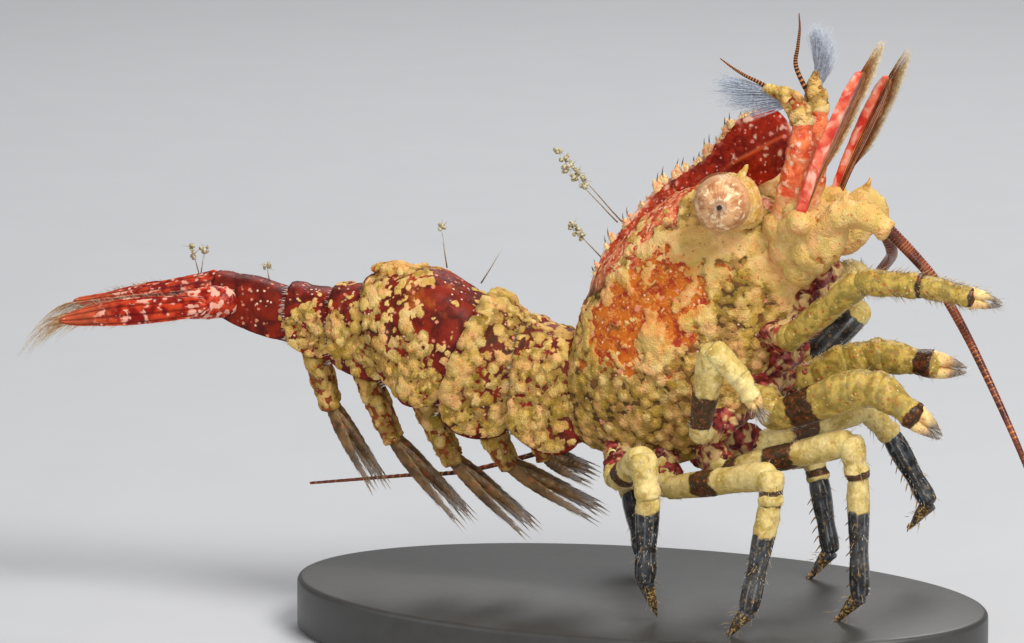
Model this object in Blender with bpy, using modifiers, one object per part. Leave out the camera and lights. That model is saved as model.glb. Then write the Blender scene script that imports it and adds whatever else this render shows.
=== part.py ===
"""A still, life-size blunt blade shrimp, standing on its walking legs on a flat display base.

Frame: +X towards the head, +Y towards the animal's left, +Z up, with the origin at the centre
of the base's underside. Sizes in the tables are millimetres and are scaled to metres by MM.
"""

import math

import bmesh
import bpy
from mathutils import Matrix, Vector

MM = 0.001
GAP = 0.3            # clearance between neighbouring nodes
ROOM = 0.32          # the same, cut by a faceted tool
WELD = 0.004         # merge distance for caps and slivers
FOLD = math.radians(100)   # a limb that turns back by more than this is made in two skins

BASE_LENGTH = 20.0
BASE_WIDTH = 11.0
BASE_HEIGHT = 1.5
BASE_EDGE = 0.25
FOOT_LEVEL = BASE_HEIGHT + GAP

RIGHT, LEFT = -1, 1
SIDE_NAMES = {RIGHT: "right", LEFT: "left"}

CREAM = (0.72, 0.60, 0.36)
OLIVE = (0.50, 0.42, 0.20)
RED = (0.50, 0.04, 0.02)
PINK = (0.85, 0.25, 0.18)
CORNEA = (0.70, 0.50, 0.38)
STAND = (0.10, 0.10, 0.11)


def point(x, y, z):
    return Vector((x, y, z)) * MM


def clear_scene():
    for item in list(bpy.data.objects):
        bpy.data.objects.remove(item)


def material(name, colour, roughness=0.45):
    made = bpy.data.materials.new(name)
    made.use_nodes = True
    shader = made.node_tree.nodes["Principled BSDF"]
    shader.inputs["Base Color"].default_value = (*colour, 1.0)
    shader.inputs["Roughness"].default_value = roughness
    made.diffuse_color = (*colour, 1.0)
    return made


def mesh_object(name, bm):
    bmesh.ops.recalc_face_normals(bm, faces=bm.faces)
    mesh = bpy.data.meshes.new(name)
    bm.to_mesh(mesh)
    bm.free()
    made = bpy.data.objects.new(name, mesh)
    bpy.context.scene.collection.objects.link(made)
    return made


def loft(name, rings):
    """A closed skin through rings of equal count, each ring flat, with flat ends."""
    bm = bmesh.new()
    loops = [[bm.verts.new(p) for p in ring] for ring in rings]
    for near, far in zip(loops, loops[1:]):
        for i in range(len(near)):
            j = (i + 1) % len(near)
            bm.faces.new((near[i], near[j], far[j], far[i]))
    bm.faces.new(loops[0])
    bm.faces.new(loops[-1])
    return mesh_object(name, bm)


def grown(rings, amount):
    """The same flat rings moved outwards all round, and past both ends, by amount."""
    wide = []
    for ring in rings:
        count = len(ring)
        spokes = [corner - ring[0] for corner in ring]
        normal = sum((spokes[i - 1].cross(spokes[i]) for i in range(count)), Vector())
        moved = []
        for i in range(count):
            before = (ring[i] - ring[i - 1]).cross(normal).normalized()
            after = (ring[(i + 1) % count] - ring[i]).cross(normal).normalized()
            aside = (before + after).normalized()
            moved.append(ring[i] + aside * (amount / max(aside.dot(after), 0.6)))
        wide.append(moved)
    centres = [sum(ring, Vector()) / len(ring) for ring in rings]
    start = (centres[0] - centres[1]).normalized() * amount
    end = (centres[-1] - centres[-2]).normalized() * amount
    wide[0] = [p + start for p in wide[0]]
    wide[-1] = [p + end for p in wide[-1]]
    return wide


def mixed(rows, t):
    """Catmull-Rom blend of equal-length rows of numbers at parameter t, counted in rows."""
    last = len(rows) - 1
    k = min(int(t), last - 1)
    u = t - k
    a, b, c, d = (rows[min(max(k + n, 0), last)] for n in (-1, 0, 1, 2))
    return [
        0.5 * (2 * q + (r - p) * u + (2 * p - 5 * q + 4 * r - s) * u**2 + (3 * q - p - 3 * r + s) * u**3)
        for p, q, r, s in zip(a, b, c, d)
    ]


def evaluated(item):
    graph = bpy.context.evaluated_depsgraph_get()
    return bpy.data.meshes.new_from_object(item.evaluated_get(graph))


def keep_largest(item):
    """Welds slivers and drops every closed surface of the mesh but the one with the largest box."""
    bm = bmesh.new()
    bm.from_mesh(item.data)
    bmesh.ops.triangulate(bm, faces=bm.faces)
    bmesh.ops.remove_doubles(bm, verts=bm.verts, dist=WELD * MM)
    bmesh.ops.dissolve_degenerate(bm, edges=bm.edges, dist=WELD * MM)
    left, shells = set(bm.verts), []
    while left:
        shell, front = set(), [next(iter(left))]
        while front:
            vert = front.pop()
            if vert in shell:
                continue
            shell.add(vert)
            front += [edge.other_vert(vert) for edge in vert.link_edges]
        shells.append(shell)
        left -= shell

    def extent(shell):
        return sum(max(v.co[k] for v in shell) - min(v.co[k] for v in shell) for k in range(3))

    shells.sort(key=extent)
    for shell in shells[:-1]:
        bmesh.ops.delete(bm, geom=list(shell), context="VERTS")
    bm.to_mesh(item.data)
    bm.free()


def boolean(item, others, operation):
    """Applies one Boolean of item with the other meshes and removes them."""
    group = bpy.data.collections.new("operands")
    bpy.context.scene.collection.children.link(group)
    for other in others:
        group.objects.link(other)
    modifier = item.modifiers.new(operation, "BOOLEAN")
    modifier.operation = operation
    modifier.operand_type = "COLLECTION"
    modifier.collection = group
    modifier.solver = "MANIFOLD"
    bpy.context.view_layer.update()
    mesh = evaluated(item)
    item.modifiers.remove(modifier)
    item.data = mesh
    for other in others:
        bpy.data.objects.remove(other)
    bpy.data.collections.remove(group)
    keep_largest(item)
    return item


def fused(pieces):
    return boolean(pieces[0], pieces[1:], "UNION") if len(pieces) > 1 else pieces[0]


def cut(item, cutters):
    return boolean(item, cutters, "DIFFERENCE")


def finish(item, name, finish_material):
    item.name = name
    item.data.name = name
    item.data.materials.clear()
    item.data.materials.append(finish_material)
    item.data.shade_smooth()
    item.data.set_sharp_from_angle(angle=math.radians(40))
    for collection in list(item.users_collection):
        collection.objects.unlink(item)
    shrimp.objects.link(item)
    return item


def floor_slab():
    """What lies below the level of the feet, to cut small flats under them."""
    bpy.ops.mesh.primitive_cube_add(size=1, location=point(0, 0, FOOT_LEVEL - 2.0))
    slab = bpy.context.object
    slab.scale = point(40, 40, 4.0)
    bpy.ops.object.transform_apply(location=True, rotation=True, scale=True)
    return slab


def ellipse_ring(centre, across, through, half_across, half_through, sides):
    ring = []
    for k in range(sides):
        a = 2 * math.pi * (k + 0.5) / sides
        ring.append(centre + across * half_across * math.cos(a) + through * half_through * math.sin(a))
    return ring


def sweep_rings(path, half_across, half_through, reference, sides=8):
    """Rings along a path. Across is the way that reference points, squared to the path."""
    rings = []
    for i, centre in enumerate(path):
        before, after = path[max(i - 1, 0)], path[min(i + 1, len(path) - 1)]
        inward = (centre - before).normalized() if i else (after - centre).normalized()
        outward = (after - centre).normalized() if i < len(path) - 1 else inward
        tangent = (inward + outward).normalized()
        across = (reference - tangent * reference.dot(tangent)).normalized()
        through = tangent.cross(across)
        rings.append(ellipse_ring(centre, across, through, half_across[i], half_through[i], sides))
    return rings


def limb_stations(joints, radii):
    """Points and radii along a jointed limb: full just off each joint and drawn in at it."""
    points, sizes = [joints[0]], [radii[0]]
    for i in range(1, len(joints) - 1):
        before, after = joints[i - 1] - joints[i], joints[i + 1] - joints[i]
        bend = math.pi - before.angle(after)
        reach = radii[i] * math.tan(bend / 2) * 1.15 + 0.12 * MM
        reach = min(reach, 0.42 * min(before.length, after.length))
        points += [joints[i] + before.normalized() * reach, joints[i], joints[i] + after.normalized() * reach]
        sizes += [radii[i], radii[i] * 0.86, radii[i] * 0.98]
    points.append(joints[-1])
    sizes.append(radii[-1])
    return points, sizes


def limb_plane(joints):
    """A unit vector square to the plane in which the limb bends most."""
    normal = Vector()
    for a, b, c in zip(joints, joints[1:], joints[2:]):
        turn = (b - a).cross(c - b)
        normal += turn if turn.dot(normal) >= 0 else -turn
    return normal.normalized() if normal.length > 0 else Vector((0, 1, 0))


def limb(name, joints, radii, sides=8):
    """A jointed limb. Where it folds back sharply, two skins are fused over a ball at the joint."""
    for i in range(1, len(joints) - 1):
        before, joint, after = (Vector(joints[n]) for n in (i - 1, i, i + 1))
        if (joint - before).angle(after - joint) > FOLD:
            near = limb(name, joints[:i + 1], radii[:i + 1], sides)
            far = limb(name, joints[i:], radii[i:], sides)
            return fused([near, far, ball(name, joint, (radii[i],) * 3, rings=6, segments=8)])
    joints = [point(*j) for j in joints]
    points, sizes = limb_stations(joints, [r * MM for r in radii])
    return loft(name, sweep_rings(points, sizes, sizes, limb_plane(joints), sides))


def spike(name, root, tip, radius, sides=5, blunt=0.2):
    """A tapered tooth or finger from root to tip."""
    root, tip = point(*root), point(*tip)
    bm = bmesh.new()
    bmesh.ops.create_cone(
        bm, cap_ends=True, segments=sides, radius1=radius * MM, radius2=radius * blunt * MM,
        depth=(tip - root).length,
    )
    turn = Vector((0, 0, 1)).rotation_difference(tip - root).to_matrix().to_4x4()
    bmesh.ops.transform(bm, matrix=Matrix.Translation((root + tip) / 2) @ turn, verts=bm.verts)
    return mesh_object(name, bm)


def ball(name, centre, radii, turn=0.0, rings=8, segments=12):
    bm = bmesh.new()
    bmesh.ops.create_uvsphere(bm, u_segments=segments, v_segments=rings, radius=1.0)
    place = Matrix.Translation(point(*centre)) @ Matrix.Rotation(turn, 4, "Y")
    bmesh.ops.transform(bm, matrix=place @ Matrix.Diagonal((*(r * MM for r in radii), 1)), verts=bm.verts)
    return mesh_object(name, bm)


def cord(name, places, radii, count):
    """A tapering round cord on a smooth curve through places, as a closed mesh."""
    curve = bpy.data.curves.new(name, "CURVE")
    curve.dimensions = "3D"
    curve.bevel_depth = MM
    curve.bevel_resolution = 1
    curve.use_fill_caps = True
    spline = curve.splines.new("POLY")
    spline.points.add(count - 1)
    for n, knot in enumerate(spline.points):
        along = n / (count - 1)
        knot.co = (*point(*mixed(places, along * (len(places) - 1))), 1)
        knot.radius = radii[0] + (radii[1] - radii[0]) * along
    guide = bpy.data.objects.new(name, curve)
    bpy.context.scene.collection.objects.link(guide)
    bpy.context.view_layer.update()
    bm = bmesh.new()
    bm.from_mesh(evaluated(guide))
    bpy.data.objects.remove(guide)
    bmesh.ops.remove_doubles(bm, verts=bm.verts, dist=WELD * MM)
    return mesh_object(name, bm)


def mirrored(place, side):
    return (place[0], side * abs(place[1]), place[2])


# Carapace: stations from the rear margin to the face, as x and z on the back, x and z on the
# belly side, and half width.
CARAPACE = [
    (-1.85, 8.95, -1.45, 5.80, 1.38),
    (-1.66, 9.75, -0.10, 5.40, 1.70),
    (-1.20, 10.78, 1.40, 5.42, 1.92),
    (-0.55, 11.70, 2.80, 6.30, 1.95),
    (0.20, 12.48, 3.65, 7.60, 1.78),
    (1.00, 13.10, 4.35, 9.10, 1.50),
    (1.85, 13.35, 4.95, 10.30, 1.22),
    (2.95, 13.12, 5.25, 11.00, 0.98),
    (3.95, 12.95, 5.35, 11.50, 0.80),
]
CARAPACE_RINGS = 17
# Half section of the carapace: share of half width, and share of height above the belly.
CARAPACE_SECTION = [
    (0.00, 1.00), (0.22, 0.985), (0.47, 0.93), (0.70, 0.83), (0.88, 0.69), (0.99, 0.52),
    (1.00, 0.35), (0.93, 0.19), (0.78, 0.07), (0.55, 0.00), (0.28, 0.03), (0.00, 0.05),
]

BLADE_THICK = 0.5
BLADE_ROOT = 0.9     # how deep the blade sits below the back
# The crest's and blade's top edge from the rear margin to the blunt end, as x and z.
BLADE_TOP = [(-1.68, 9.35), (-1.17, 10.97), (-0.42, 12.02), (0.55, 13.13), (1.60, 13.88), (2.72, 15.10)]
BLADE_END = [(3.25, 15.45), (3.85, 15.52), (4.27, 15.11), (4.38, 14.60), (4.25, 14.02), (3.90, 13.60)]
BLADE_LOW = [(3.10, 13.30), (2.30, 12.60)]
RIB_START, RIB_END, RIB_RADIUS = (1.3, 13.25), (4.15, 14.85), 0.16
TOOTH_COUNT = 10
TOOTH_HEIGHT = 0.36
TOOTH_RADIUS = 0.22
TOOTH_LEAN = math.radians(88)
# The right side's spines on the head, as root, tip and radius.
SUPRAORBITAL_SPINE = ((1.5, -0.75, 12.9), (2.1, -1.1, 13.75), 0.28)
ANTENNAL_SPINE = ((3.7, -0.7, 11.9), (4.6, -1.15, 12.2), 0.3)


def section_ring(dorsal, ventral, half_width, section, drop=None):
    """A flat ring in the plane of the y axis and the line from belly to back."""
    rise = dorsal - ventral
    up = rise.normalized()
    half = []
    for k, (across, height) in enumerate(section):
        lowered = drop[k] if drop else 0.0
        half.append((across * half_width, ventral + rise * height - up * lowered))
    right = [p + Vector((0, -y, 0)) for y, p in half]
    left = [p + Vector((0, y, 0)) for y, p in half[1:-1]]
    return right + left[::-1]


def carapace_rings():
    rings = []
    for n in range(CARAPACE_RINGS):
        t = n / (CARAPACE_RINGS - 1) * (len(CARAPACE) - 1)
        dx, dz, vx, vz, width = mixed(CARAPACE, t)
        rings.append(section_ring(point(dx, 0, dz), point(vx, 0, vz), width * MM, CARAPACE_SECTION))
    return rings


def carapace_cutter():
    return loft("carapace_cutter", grown(carapace_rings(), ROOM * MM))


def blade_top(t):
    """The place on the crest's top edge at share t of its length."""
    return mixed(BLADE_TOP, t * (len(BLADE_TOP) - 1))


def blade():
    """The median crest and the deep, blunt rostral blade, cut from one flat outline."""
    steps = 14
    outline = [blade_top(n / steps) for n in range(steps + 1)] + BLADE_END + BLADE_LOW
    outline += [mixed(CARAPACE, t)[:2] for t in (5, 3.5, 2, 1)]
    inner = [(x + BLADE_ROOT * 0.7, z - BLADE_ROOT * 0.7) for x, z in outline[-4:]]
    outline[-4:] = inner
    curve = bpy.data.curves.new("blade", "CURVE")
    curve.dimensions = "2D"
    curve.fill_mode = "BOTH"
    curve.extrude = BLADE_THICK / 2 * MM
    spline = curve.splines.new("POLY")
    spline.points.add(len(outline) - 1)
    spline.use_cyclic_u = True
    for knot, (x, z) in zip(spline.points, outline):
        knot.co = (x * MM, z * MM, 0, 1)
    guide = bpy.data.objects.new("blade", curve)
    guide.rotation_euler = (math.radians(90), 0, 0)
    bpy.context.scene.collection.objects.link(guide)
    bpy.context.view_layer.update()
    bm = bmesh.new()
    bm.from_mesh(evaluated(guide))
    bm.transform(guide.matrix_world)
    bpy.data.objects.remove(guide)
    bmesh.ops.remove_doubles(bm, verts=bm.verts, dist=WELD * MM)
    return mesh_object("blade", bm)


def crest_teeth():
    teeth = []
    for n in range(TOOTH_COUNT):
        share = 0.10 + 0.86 * n / (TOOTH_COUNT - 1)
        x, z = blade_top(share)
        height = TOOTH_HEIGHT * (0.8 + 0.25 * math.sin(2.3 * n))
        root = (x + 0.12, 0, z - 0.2)
        tip = (x + height * math.cos(TOOTH_LEAN), 0, z + height * math.sin(TOOTH_LEAN))
        teeth.append(spike("tooth", root, tip, TOOTH_RADIUS))
    return teeth


def make_carapace():
    pieces = [loft("carapace_shell", carapace_rings()), blade(), *crest_teeth()]
    for side in (RIGHT, LEFT):
        rib_y = side * BLADE_THICK * 0.42
        start, end = (RIB_START[0], rib_y, RIB_START[1]), (RIB_END[0], rib_y, RIB_END[1])
        pieces.append(spike("rib", start, end, RIB_RADIUS, sides=6, blunt=0.6))
        for root, tip, radius in (SUPRAORBITAL_SPINE, ANTENNAL_SPINE):
            pieces.append(spike("head_spine", mirrored(root, side), mirrored(tip, side), radius))
    return finish(fused(pieces), "carapace", material("carapace_shell", CREAM))


# Eyes: a short stalk, a glassy cornea and the small papilla on top.
EYE_CENTRE = (2.95, 1.95, 13.17)
EYE_RADIUS = 0.87
STALK_ROOT = (3.3, 0.95, 12.5)
STALK_TOP = (3.12, 1.35, 12.9)
STALK_RADIUS = 0.42
PAPILLA_ROOT = (3.3, 1.95, 13.8)
PAPILLA_TIP = (3.5, 1.95, 14.25)
PAPILLA_RADIUS = 0.2


def make_eye(side):
    centre = mirrored(EYE_CENTRE, side)
    stalk_root, stalk_top = mirrored(STALK_ROOT, side), mirrored(STALK_TOP, side)
    papilla_root, papilla_tip = mirrored(PAPILLA_ROOT, side), mirrored(PAPILLA_TIP, side)
    pieces = [
        ball("cornea", centre, (EYE_RADIUS, EYE_RADIUS * 0.92, EYE_RADIUS), rings=10, segments=16),
        spike("stalk", stalk_root, stalk_top, STALK_RADIUS, sides=10, blunt=1.25),
        spike("papilla", papilla_root, papilla_tip, PAPILLA_RADIUS, sides=6),
    ]
    eye = cut(fused(pieces), [carapace_cutter()])
    return finish(eye, "eye_" + SIDE_NAMES[side], material("cornea_" + SIDE_NAMES[side], CORNEA, 0.15))


# Abdomen stations from the carapace back: x and z of the back, x and z of the side plates' lower
# edge, half width.
ABDOMEN = [
    (-1.85, 8.95, -1.45, 6.15, 1.38),
    (-3.00, 9.12, -3.35, 6.30, 1.50),
    (-3.95, 9.60, -5.45, 6.75, 1.55),
    (-5.95, 10.48, -6.45, 7.15, 1.50),
    (-7.70, 10.12, -7.25, 7.35, 1.25),
    (-8.70, 9.80, -8.85, 7.75, 1.02),
    (-10.10, 9.72, -10.20, 8.12, 0.78),
    (-11.40, 9.88, -11.30, 8.38, 0.68),
    (-12.50, 9.92, -12.35, 8.70, 0.56),
]
# For each somite: first and last station, how far its side plate hangs below the line, its rings.
SOMITES = [
    (0, 1, 0.60, 6), (1, 2, 0.62, 6), (2, 4, 0.42, 8), (4, 5, 0.22, 5), (5, 6, 0.12, 5), (6, 8, 0.05, 6),
]
TUCK = 0.10          # how far the front of a somite is drawn in below the rear rim of the one before
HOLLOW = (1, 2, 3)   # somites with a recess between their side plates
PLATE_WALL = 0.42
BELLY_RISE = 0.5
# The third somite's cap, which juts over the fourth, as root, tip and radius, and the room cut for it.
CAP = ((-6.6, 0, 10.12), (-7.80, 0, 10.28), 0.42)
CAP_ROOM = ((-6.6, 0, 10.12), (-8.14, 0, 10.32), 0.76)


def somite_ring(t, share, lobe, hollow, t_low=None):
    """A ring at station t. The lower edge can lie at a station of its own, t_low."""
    dx, dz, vx, vz, width = mixed(ABDOMEN, t)
    if t_low is not None:
        vx, vz = mixed(ABDOMEN, t_low)[2:4]
    dorsal, ventral = point(dx, 0, dz), point(vx, 0, vz)
    dorsal = dorsal.lerp(ventral, TUCK * 0.8 * (1 - share) ** 2.5)
    bulge = 1.02 - TUCK * (1 - share) ** 2.5
    depth = (dorsal - ventral).length / MM
    hang = lobe * math.sin(math.pi * min(max(share, 0.04), 0.96)) ** 0.6
    tip = 0.93
    inner = tip - PLATE_WALL / width if hollow else 0.5
    belly = BELLY_RISE / depth if hollow else -0.02
    section = [
        (0.00, 1.00), (0.30, 0.985), (0.58, 0.93), (0.80, 0.82), (0.95, 0.66), (1.00, 0.48),
        (1.00, 0.28), (0.98, 0.10), (tip, 0.00), (inner, 0.03), (inner - 0.06, belly), (0.00, belly + 0.03),
    ]
    drop = [0, 0, 0, 0, 0, 0, 0, 0.35 * hang, hang, 0.9 * hang if hollow else hang * 0.5, 0, 0]
    return section_ring(dorsal, ventral, width * bulge * MM, section, [d * MM for d in drop])


def somite_rings(number):
    """Rings of one somite, its ends half a gap inside its stations at the back and at the edge."""
    first, last, lobe, count = SOMITES[number - 1]
    start, end = mixed(ABDOMEN, first), mixed(ABDOMEN, last)
    span = last - first
    insets = [GAP * 0.62 / math.dist(start[k:k + 2], end[k:k + 2]) for k in (0, 2)]
    fronts = [inset * (2.5 if number == 1 else 1) for inset in insets]
    rings = []
    for n in range(count):
        across = n / (count - 1)
        high, low = (a + (1 - a - b) * across for a, b in zip(fronts, insets))
        rings.append(somite_ring(first + span * high, across, lobe, number in HOLLOW, first + span * low))
    return rings


def make_somites():
    for number in range(1, 7):
        pieces = [loft("somite", somite_rings(number))]
        if number == 3:
            pieces.append(spike("cap", *CAP, sides=8, blunt=0.35))
        body = fused(pieces)
        if number == 4:
            body = cut(body, [spike("cap_room", *CAP_ROOM, sides=8, blunt=0.75)])
        colour = RED if number == 6 else OLIVE
        finish(body, f"abdomen_{number}", material(f"somite_{number}", colour))


# Tail fan: the telson's middle line from root to the end of its setae, and each uropod's offset
# from it sideways and down, at the root and at the end.
TAIL_ROOT_X = -12.5 - GAP
TAIL_LINE = [(TAIL_ROOT_X, 9.50), (-14.43, 9.19), (-15.60, 8.98), (-16.90, 8.72), (-18.2, 7.98)]
TAIL_HALF_THICK = 0.25
TAIL_STEPS = 8
INNER_OFFSETS = ((0.55, -0.64), (0.74, -0.46))
OUTER_OFFSETS = ((1.26, -0.36), (1.50, -0.26))
TELSON_WIDTHS = [0.38, 0.36, 0.33, 0.31, 0.29, 0.25, 0.17, 0.06]
INNER_WIDTHS = [0.20, 0.27, 0.30, 0.30, 0.28, 0.24, 0.15, 0.05]
OUTER_WIDTHS = [0.22, 0.32, 0.38, 0.38, 0.36, 0.28, 0.16, 0.05]


def blade_rings(path, widths, half_thick, across):
    rings = []
    path = [point(*p) for p in path]
    for i, centre in enumerate(path):
        before, after = path[max(i - 1, 0)], path[min(i + 1, len(path) - 1)]
        tangent = (after - before).normalized()
        side = (across - tangent * across.dot(tangent)).normalized()
        thin = half_thick * MM * (1.0 if widths[i] > 0.2 else 0.6)
        rings.append(ellipse_ring(centre, side, tangent.cross(side), widths[i] * MM, thin, 8))
    return rings


def tail_path(side, offsets, reach=1.0):
    """The tail's middle line, moved sideways and down by offsets and cut short at reach."""
    places = []
    for n in range(TAIL_STEPS):
        share = n / (TAIL_STEPS - 1)
        x, z = mixed(TAIL_LINE, share * reach * (len(TAIL_LINE) - 1))
        aside, below = (a + (b - a) * min(share * 2, 1) for a, b in zip(*offsets))
        places.append((x, side * aside, z + below))
    return places


def tail_blade(name, path, widths, across):
    blade_skin = loft(name, blade_rings(path, widths, TAIL_HALF_THICK, across))
    finish(blade_skin, name, material(name, RED))


def make_tail():
    tail_blade("telson", tail_path(0, ((0, 0), (0, 0))), TELSON_WIDTHS, Vector((0, 1, 0)))
    for side, word in SIDE_NAMES.items():
        inner = tail_path(side, INNER_OFFSETS, 0.985)
        tail_blade("inner_uropod_" + word, inner, INNER_WIDTHS, Vector((0, 1, -1.2 * side)))
        outer = tail_path(side, OUTER_OFFSETS, 0.95)
        tail_blade("outer_uropod_" + word, outer, OUTER_WIDTHS, Vector((0, 1, -1.9 * side)))


# Swimming legs: root on the belly, knee, and tip, as x and z. All hang at SWIMMER_Y.
SWIMMERS = {
    1: ((-3.10, 6.8), (-2.68, 5.28), (-1.35, 4.82)),
    2: ((-5.00, 7.2), (-3.75, 4.92), (-1.02, 3.70)),
    3: ((-6.95, 7.8), (-5.40, 4.95), (-3.02, 3.08)),
    4: ((-8.45, 8.3), (-7.20, 5.45), (-4.94, 3.23)),
    5: ((-9.85, 8.8), (-9.03, 6.28), (-7.55, 4.05)),
}
SWIMMER_LAG = 0.22   # how far the left one of each pair stands behind the right one
SWIMMER_Y = 0.42
SWIMMER_HALF_THICK = 0.25
SWIMMER_HALF_WIDTH = 0.31
KNEE_HALF_WIDTH = 0.26
RAMUS_HALF_WIDTH = 0.19
RAMUS_SPREAD = 0.16  # how far each of the two rami leans from the line between them
# For the two rami, which way they lean and how thick they are against the stem.
RAMI = ((-1, 0.93), (1, 0.88))


def swimmer_piece(name, places, widths, y, thick):
    path = [point(x, y, z) for x, z in places]
    reference = Vector((0, 1, 0))
    return loft(name, sweep_rings(path, [t * MM for t in thick], [w * MM for w in widths], reference))


def make_swimmers():
    for number, (high, bend, low) in SWIMMERS.items():
        for side in (RIGHT, LEFT):
            y = side * SWIMMER_Y
            half = SWIMMER_HALF_THICK
            lag = Vector((SWIMMER_LAG if side == LEFT else 0, 0))
            root, knee, tip = (tuple(Vector(place) - lag) for place in (high, bend, low))
            waist = tuple((a + b) / 2 for a, b in zip(root, knee))
            stem_widths = [SWIMMER_HALF_WIDTH, SWIMMER_HALF_WIDTH, KNEE_HALF_WIDTH]
            pieces = [swimmer_piece("stem", [root, waist, knee], stem_widths, y, [half] * 3)]
            along = Vector((tip[0] - knee[0], tip[1] - knee[1]))
            square = Vector((-along.y, along.x)).normalized()
            start = Vector(knee) - along.normalized() * KNEE_HALF_WIDTH
            for lean, slim in RAMI:
                aside = square * lean * RAMUS_SPREAD
                middle = Vector(knee) + along * 0.45 + aside * 0.6
                end = Vector(tip) + aside - along * (0.06 if lean > 0 else 0)
                widths = [RAMUS_HALF_WIDTH, RAMUS_HALF_WIDTH * 0.9, 0.05]
                thick = [half * slim, half * slim, 0.08]
                pieces.append(swimmer_piece("ramus", [start, middle, end], widths, y, thick))
            near = (number, number + 1)
            cutters = [loft("somite_cutter", grown(somite_rings(n), ROOM * MM)) for n in near]
            swimmer = cut(fused(pieces), cutters)
            name = f"swimmer_{number}_" + SIDE_NAMES[side]
            finish(swimmer, name, material(name, OLIVE))


# Walking and clawed limbs: joints from root to tip, and the radius at each joint.
WALKER_RADII = [0.40, 0.40, 0.42, 0.36, 0.31, 0.20]
WALKERS = {
    "walking_leg_5_right": [(-0.3, -0.9, 6.1), (0.05, -2.2, 5.2), (1.36, -4.2, 6.37), (1.56, -4.3, 5.3),
                            (1.26, -3.6, 2.75), (1.40, -2.95, 1.90)],
    "walking_leg_4_right": [(0.9, -0.9, 6.0), (1.45, -2.1, 5.05), (4.91, -3.8, 6.05), (4.95, -3.9, 5.3),
                            (4.38, -4.1, 2.25), (3.75, -4.05, 1.94)],
    "walking_leg_3_right": [(2.1, -0.8, 6.2), (2.9, -1.5, 5.5), (6.72, -2.2, 6.78), (6.93, -2.15, 5.80),
                            (6.88, -1.7, 2.30), (6.10, -1.5, 1.95)],
    "walking_leg_5_left": [(-0.3, 0.9, 6.1), (-0.4, 2.0, 5.3), (-1.90, 4.2, 4.10), (-1.38, 3.7, 3.45),
                           (-0.50, 2.0, 2.15), (-0.10, 1.5, 1.93)],
    "walking_leg_4_left": [(0.9, 0.9, 6.0), (1.45, 2.1, 4.95), (4.05, 3.25, 5.05), (4.29, 3.1, 4.4),
                           (4.70, 3.0, 2.35), (4.00, 3.0, 1.94)],
    "walking_leg_3_left": [(2.1, 0.8, 6.2), (3.0, 1.6, 5.65), (5.45, 3.9, 6.35), (6.13, 4.1, 5.55),
                           (7.29, 4.0, 3.70), (6.65, 4.0, 2.95)],
}
SLENDER_RADII = [0.34, 0.34, 0.40, 0.32, 0.30]
SLENDER = {
    "slender_leg_right": [(2.9, -0.8, 7.0), (2.45, -2.5, 6.75), (3.1, -3.25, 9.3), (3.84, -3.25, 8.62),
                          (4.15, -3.15, 8.05)],
    "slender_leg_left": [(2.9, 0.8, 7.0), (3.35, 2.5, 7.0), (5.40, 3.2, 9.30), (4.98, 3.5, 8.75),
                         (4.75, 3.75, 8.40)],
}
CLAW_RADII = [0.44, 0.50, 0.60, 0.56, 0.42]
CLAWS = {
    "claw_leg_right": [(3.5, -0.8, 8.0), (4.5, -1.8, 7.22), (6.85, -2.2, 8.28), (7.61, -2.3, 8.30),
                       (8.60, -2.3, 7.60)],
    "claw_leg_left": [(3.5, 0.8, 8.0), (4.4, 1.6, 7.55), (5.4, 1.9, 8.05), (6.42, 2.0, 8.30),
                      (8.0, 2.0, 8.14)],
}
MOUTH_RADII = [0.38, 0.40, 0.42, 0.38, 0.34]
MOUTH_LIMBS = {
    "mouth_limb_right": [(4.0, -0.8, 9.3), (4.85, -1.6, 9.45), (6.98, -2.25, 11.28), (8.79, -2.4, 11.30),
                         (10.2, -2.4, 11.07)],
    "mouth_limb_left": [(4.0, 0.8, 9.3), (4.6, 1.7, 9.6), (5.7, 2.1, 10.5), (5.30, 2.75, 10.45),
                        (4.75, 3.1, 10.2)],
}


FINGER_SPREAD = math.radians(9)
FINGER_ROOT = 0.3    # how deep a finger starts in the palm


def fingers(end, back, length, radius, plane):
    """Two fingers from the end of a palm, opened either way about plane."""
    end, back = Vector(end), Vector(back)
    ahead = (end - back).normalized()
    pair = []
    for turn in (-FINGER_SPREAD, FINGER_SPREAD):
        aim = Matrix.Rotation(turn, 3, plane) @ ahead
        square = plane.cross(ahead) * (radius * (1 if turn > 0 else -1))
        root = end - ahead * FINGER_ROOT - square * 0.6
        pair.append(spike("finger", root, end - square * 0.6 + aim * length, radius, sides=7, blunt=0.28))
    return pair


def make_limbs():
    for name, joints in WALKERS.items():
        leg = limb(name, joints, WALKER_RADII)
        leg = cut(leg, [carapace_cutter(), floor_slab()])
        finish(leg, name, material(name, CREAM))
    for group, radii, length, radius in (
        (SLENDER, SLENDER_RADII, 0.75, 0.20),
        (CLAWS, CLAW_RADII, 0.95, 0.30),
        (MOUTH_LIMBS, MOUTH_RADII, 0.95, 0.22),
    ):
        for name, joints in group.items():
            plane = limb_plane([Vector(j) for j in joints[-3:]])
            pieces = [limb(name, joints, radii)]
            pieces += fingers(joints[-1], joints[-2], length, radius, plane)
            arm = cut(fused(pieces), [carapace_cutter()])
            finish(arm, name, material(name, CREAM))


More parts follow.
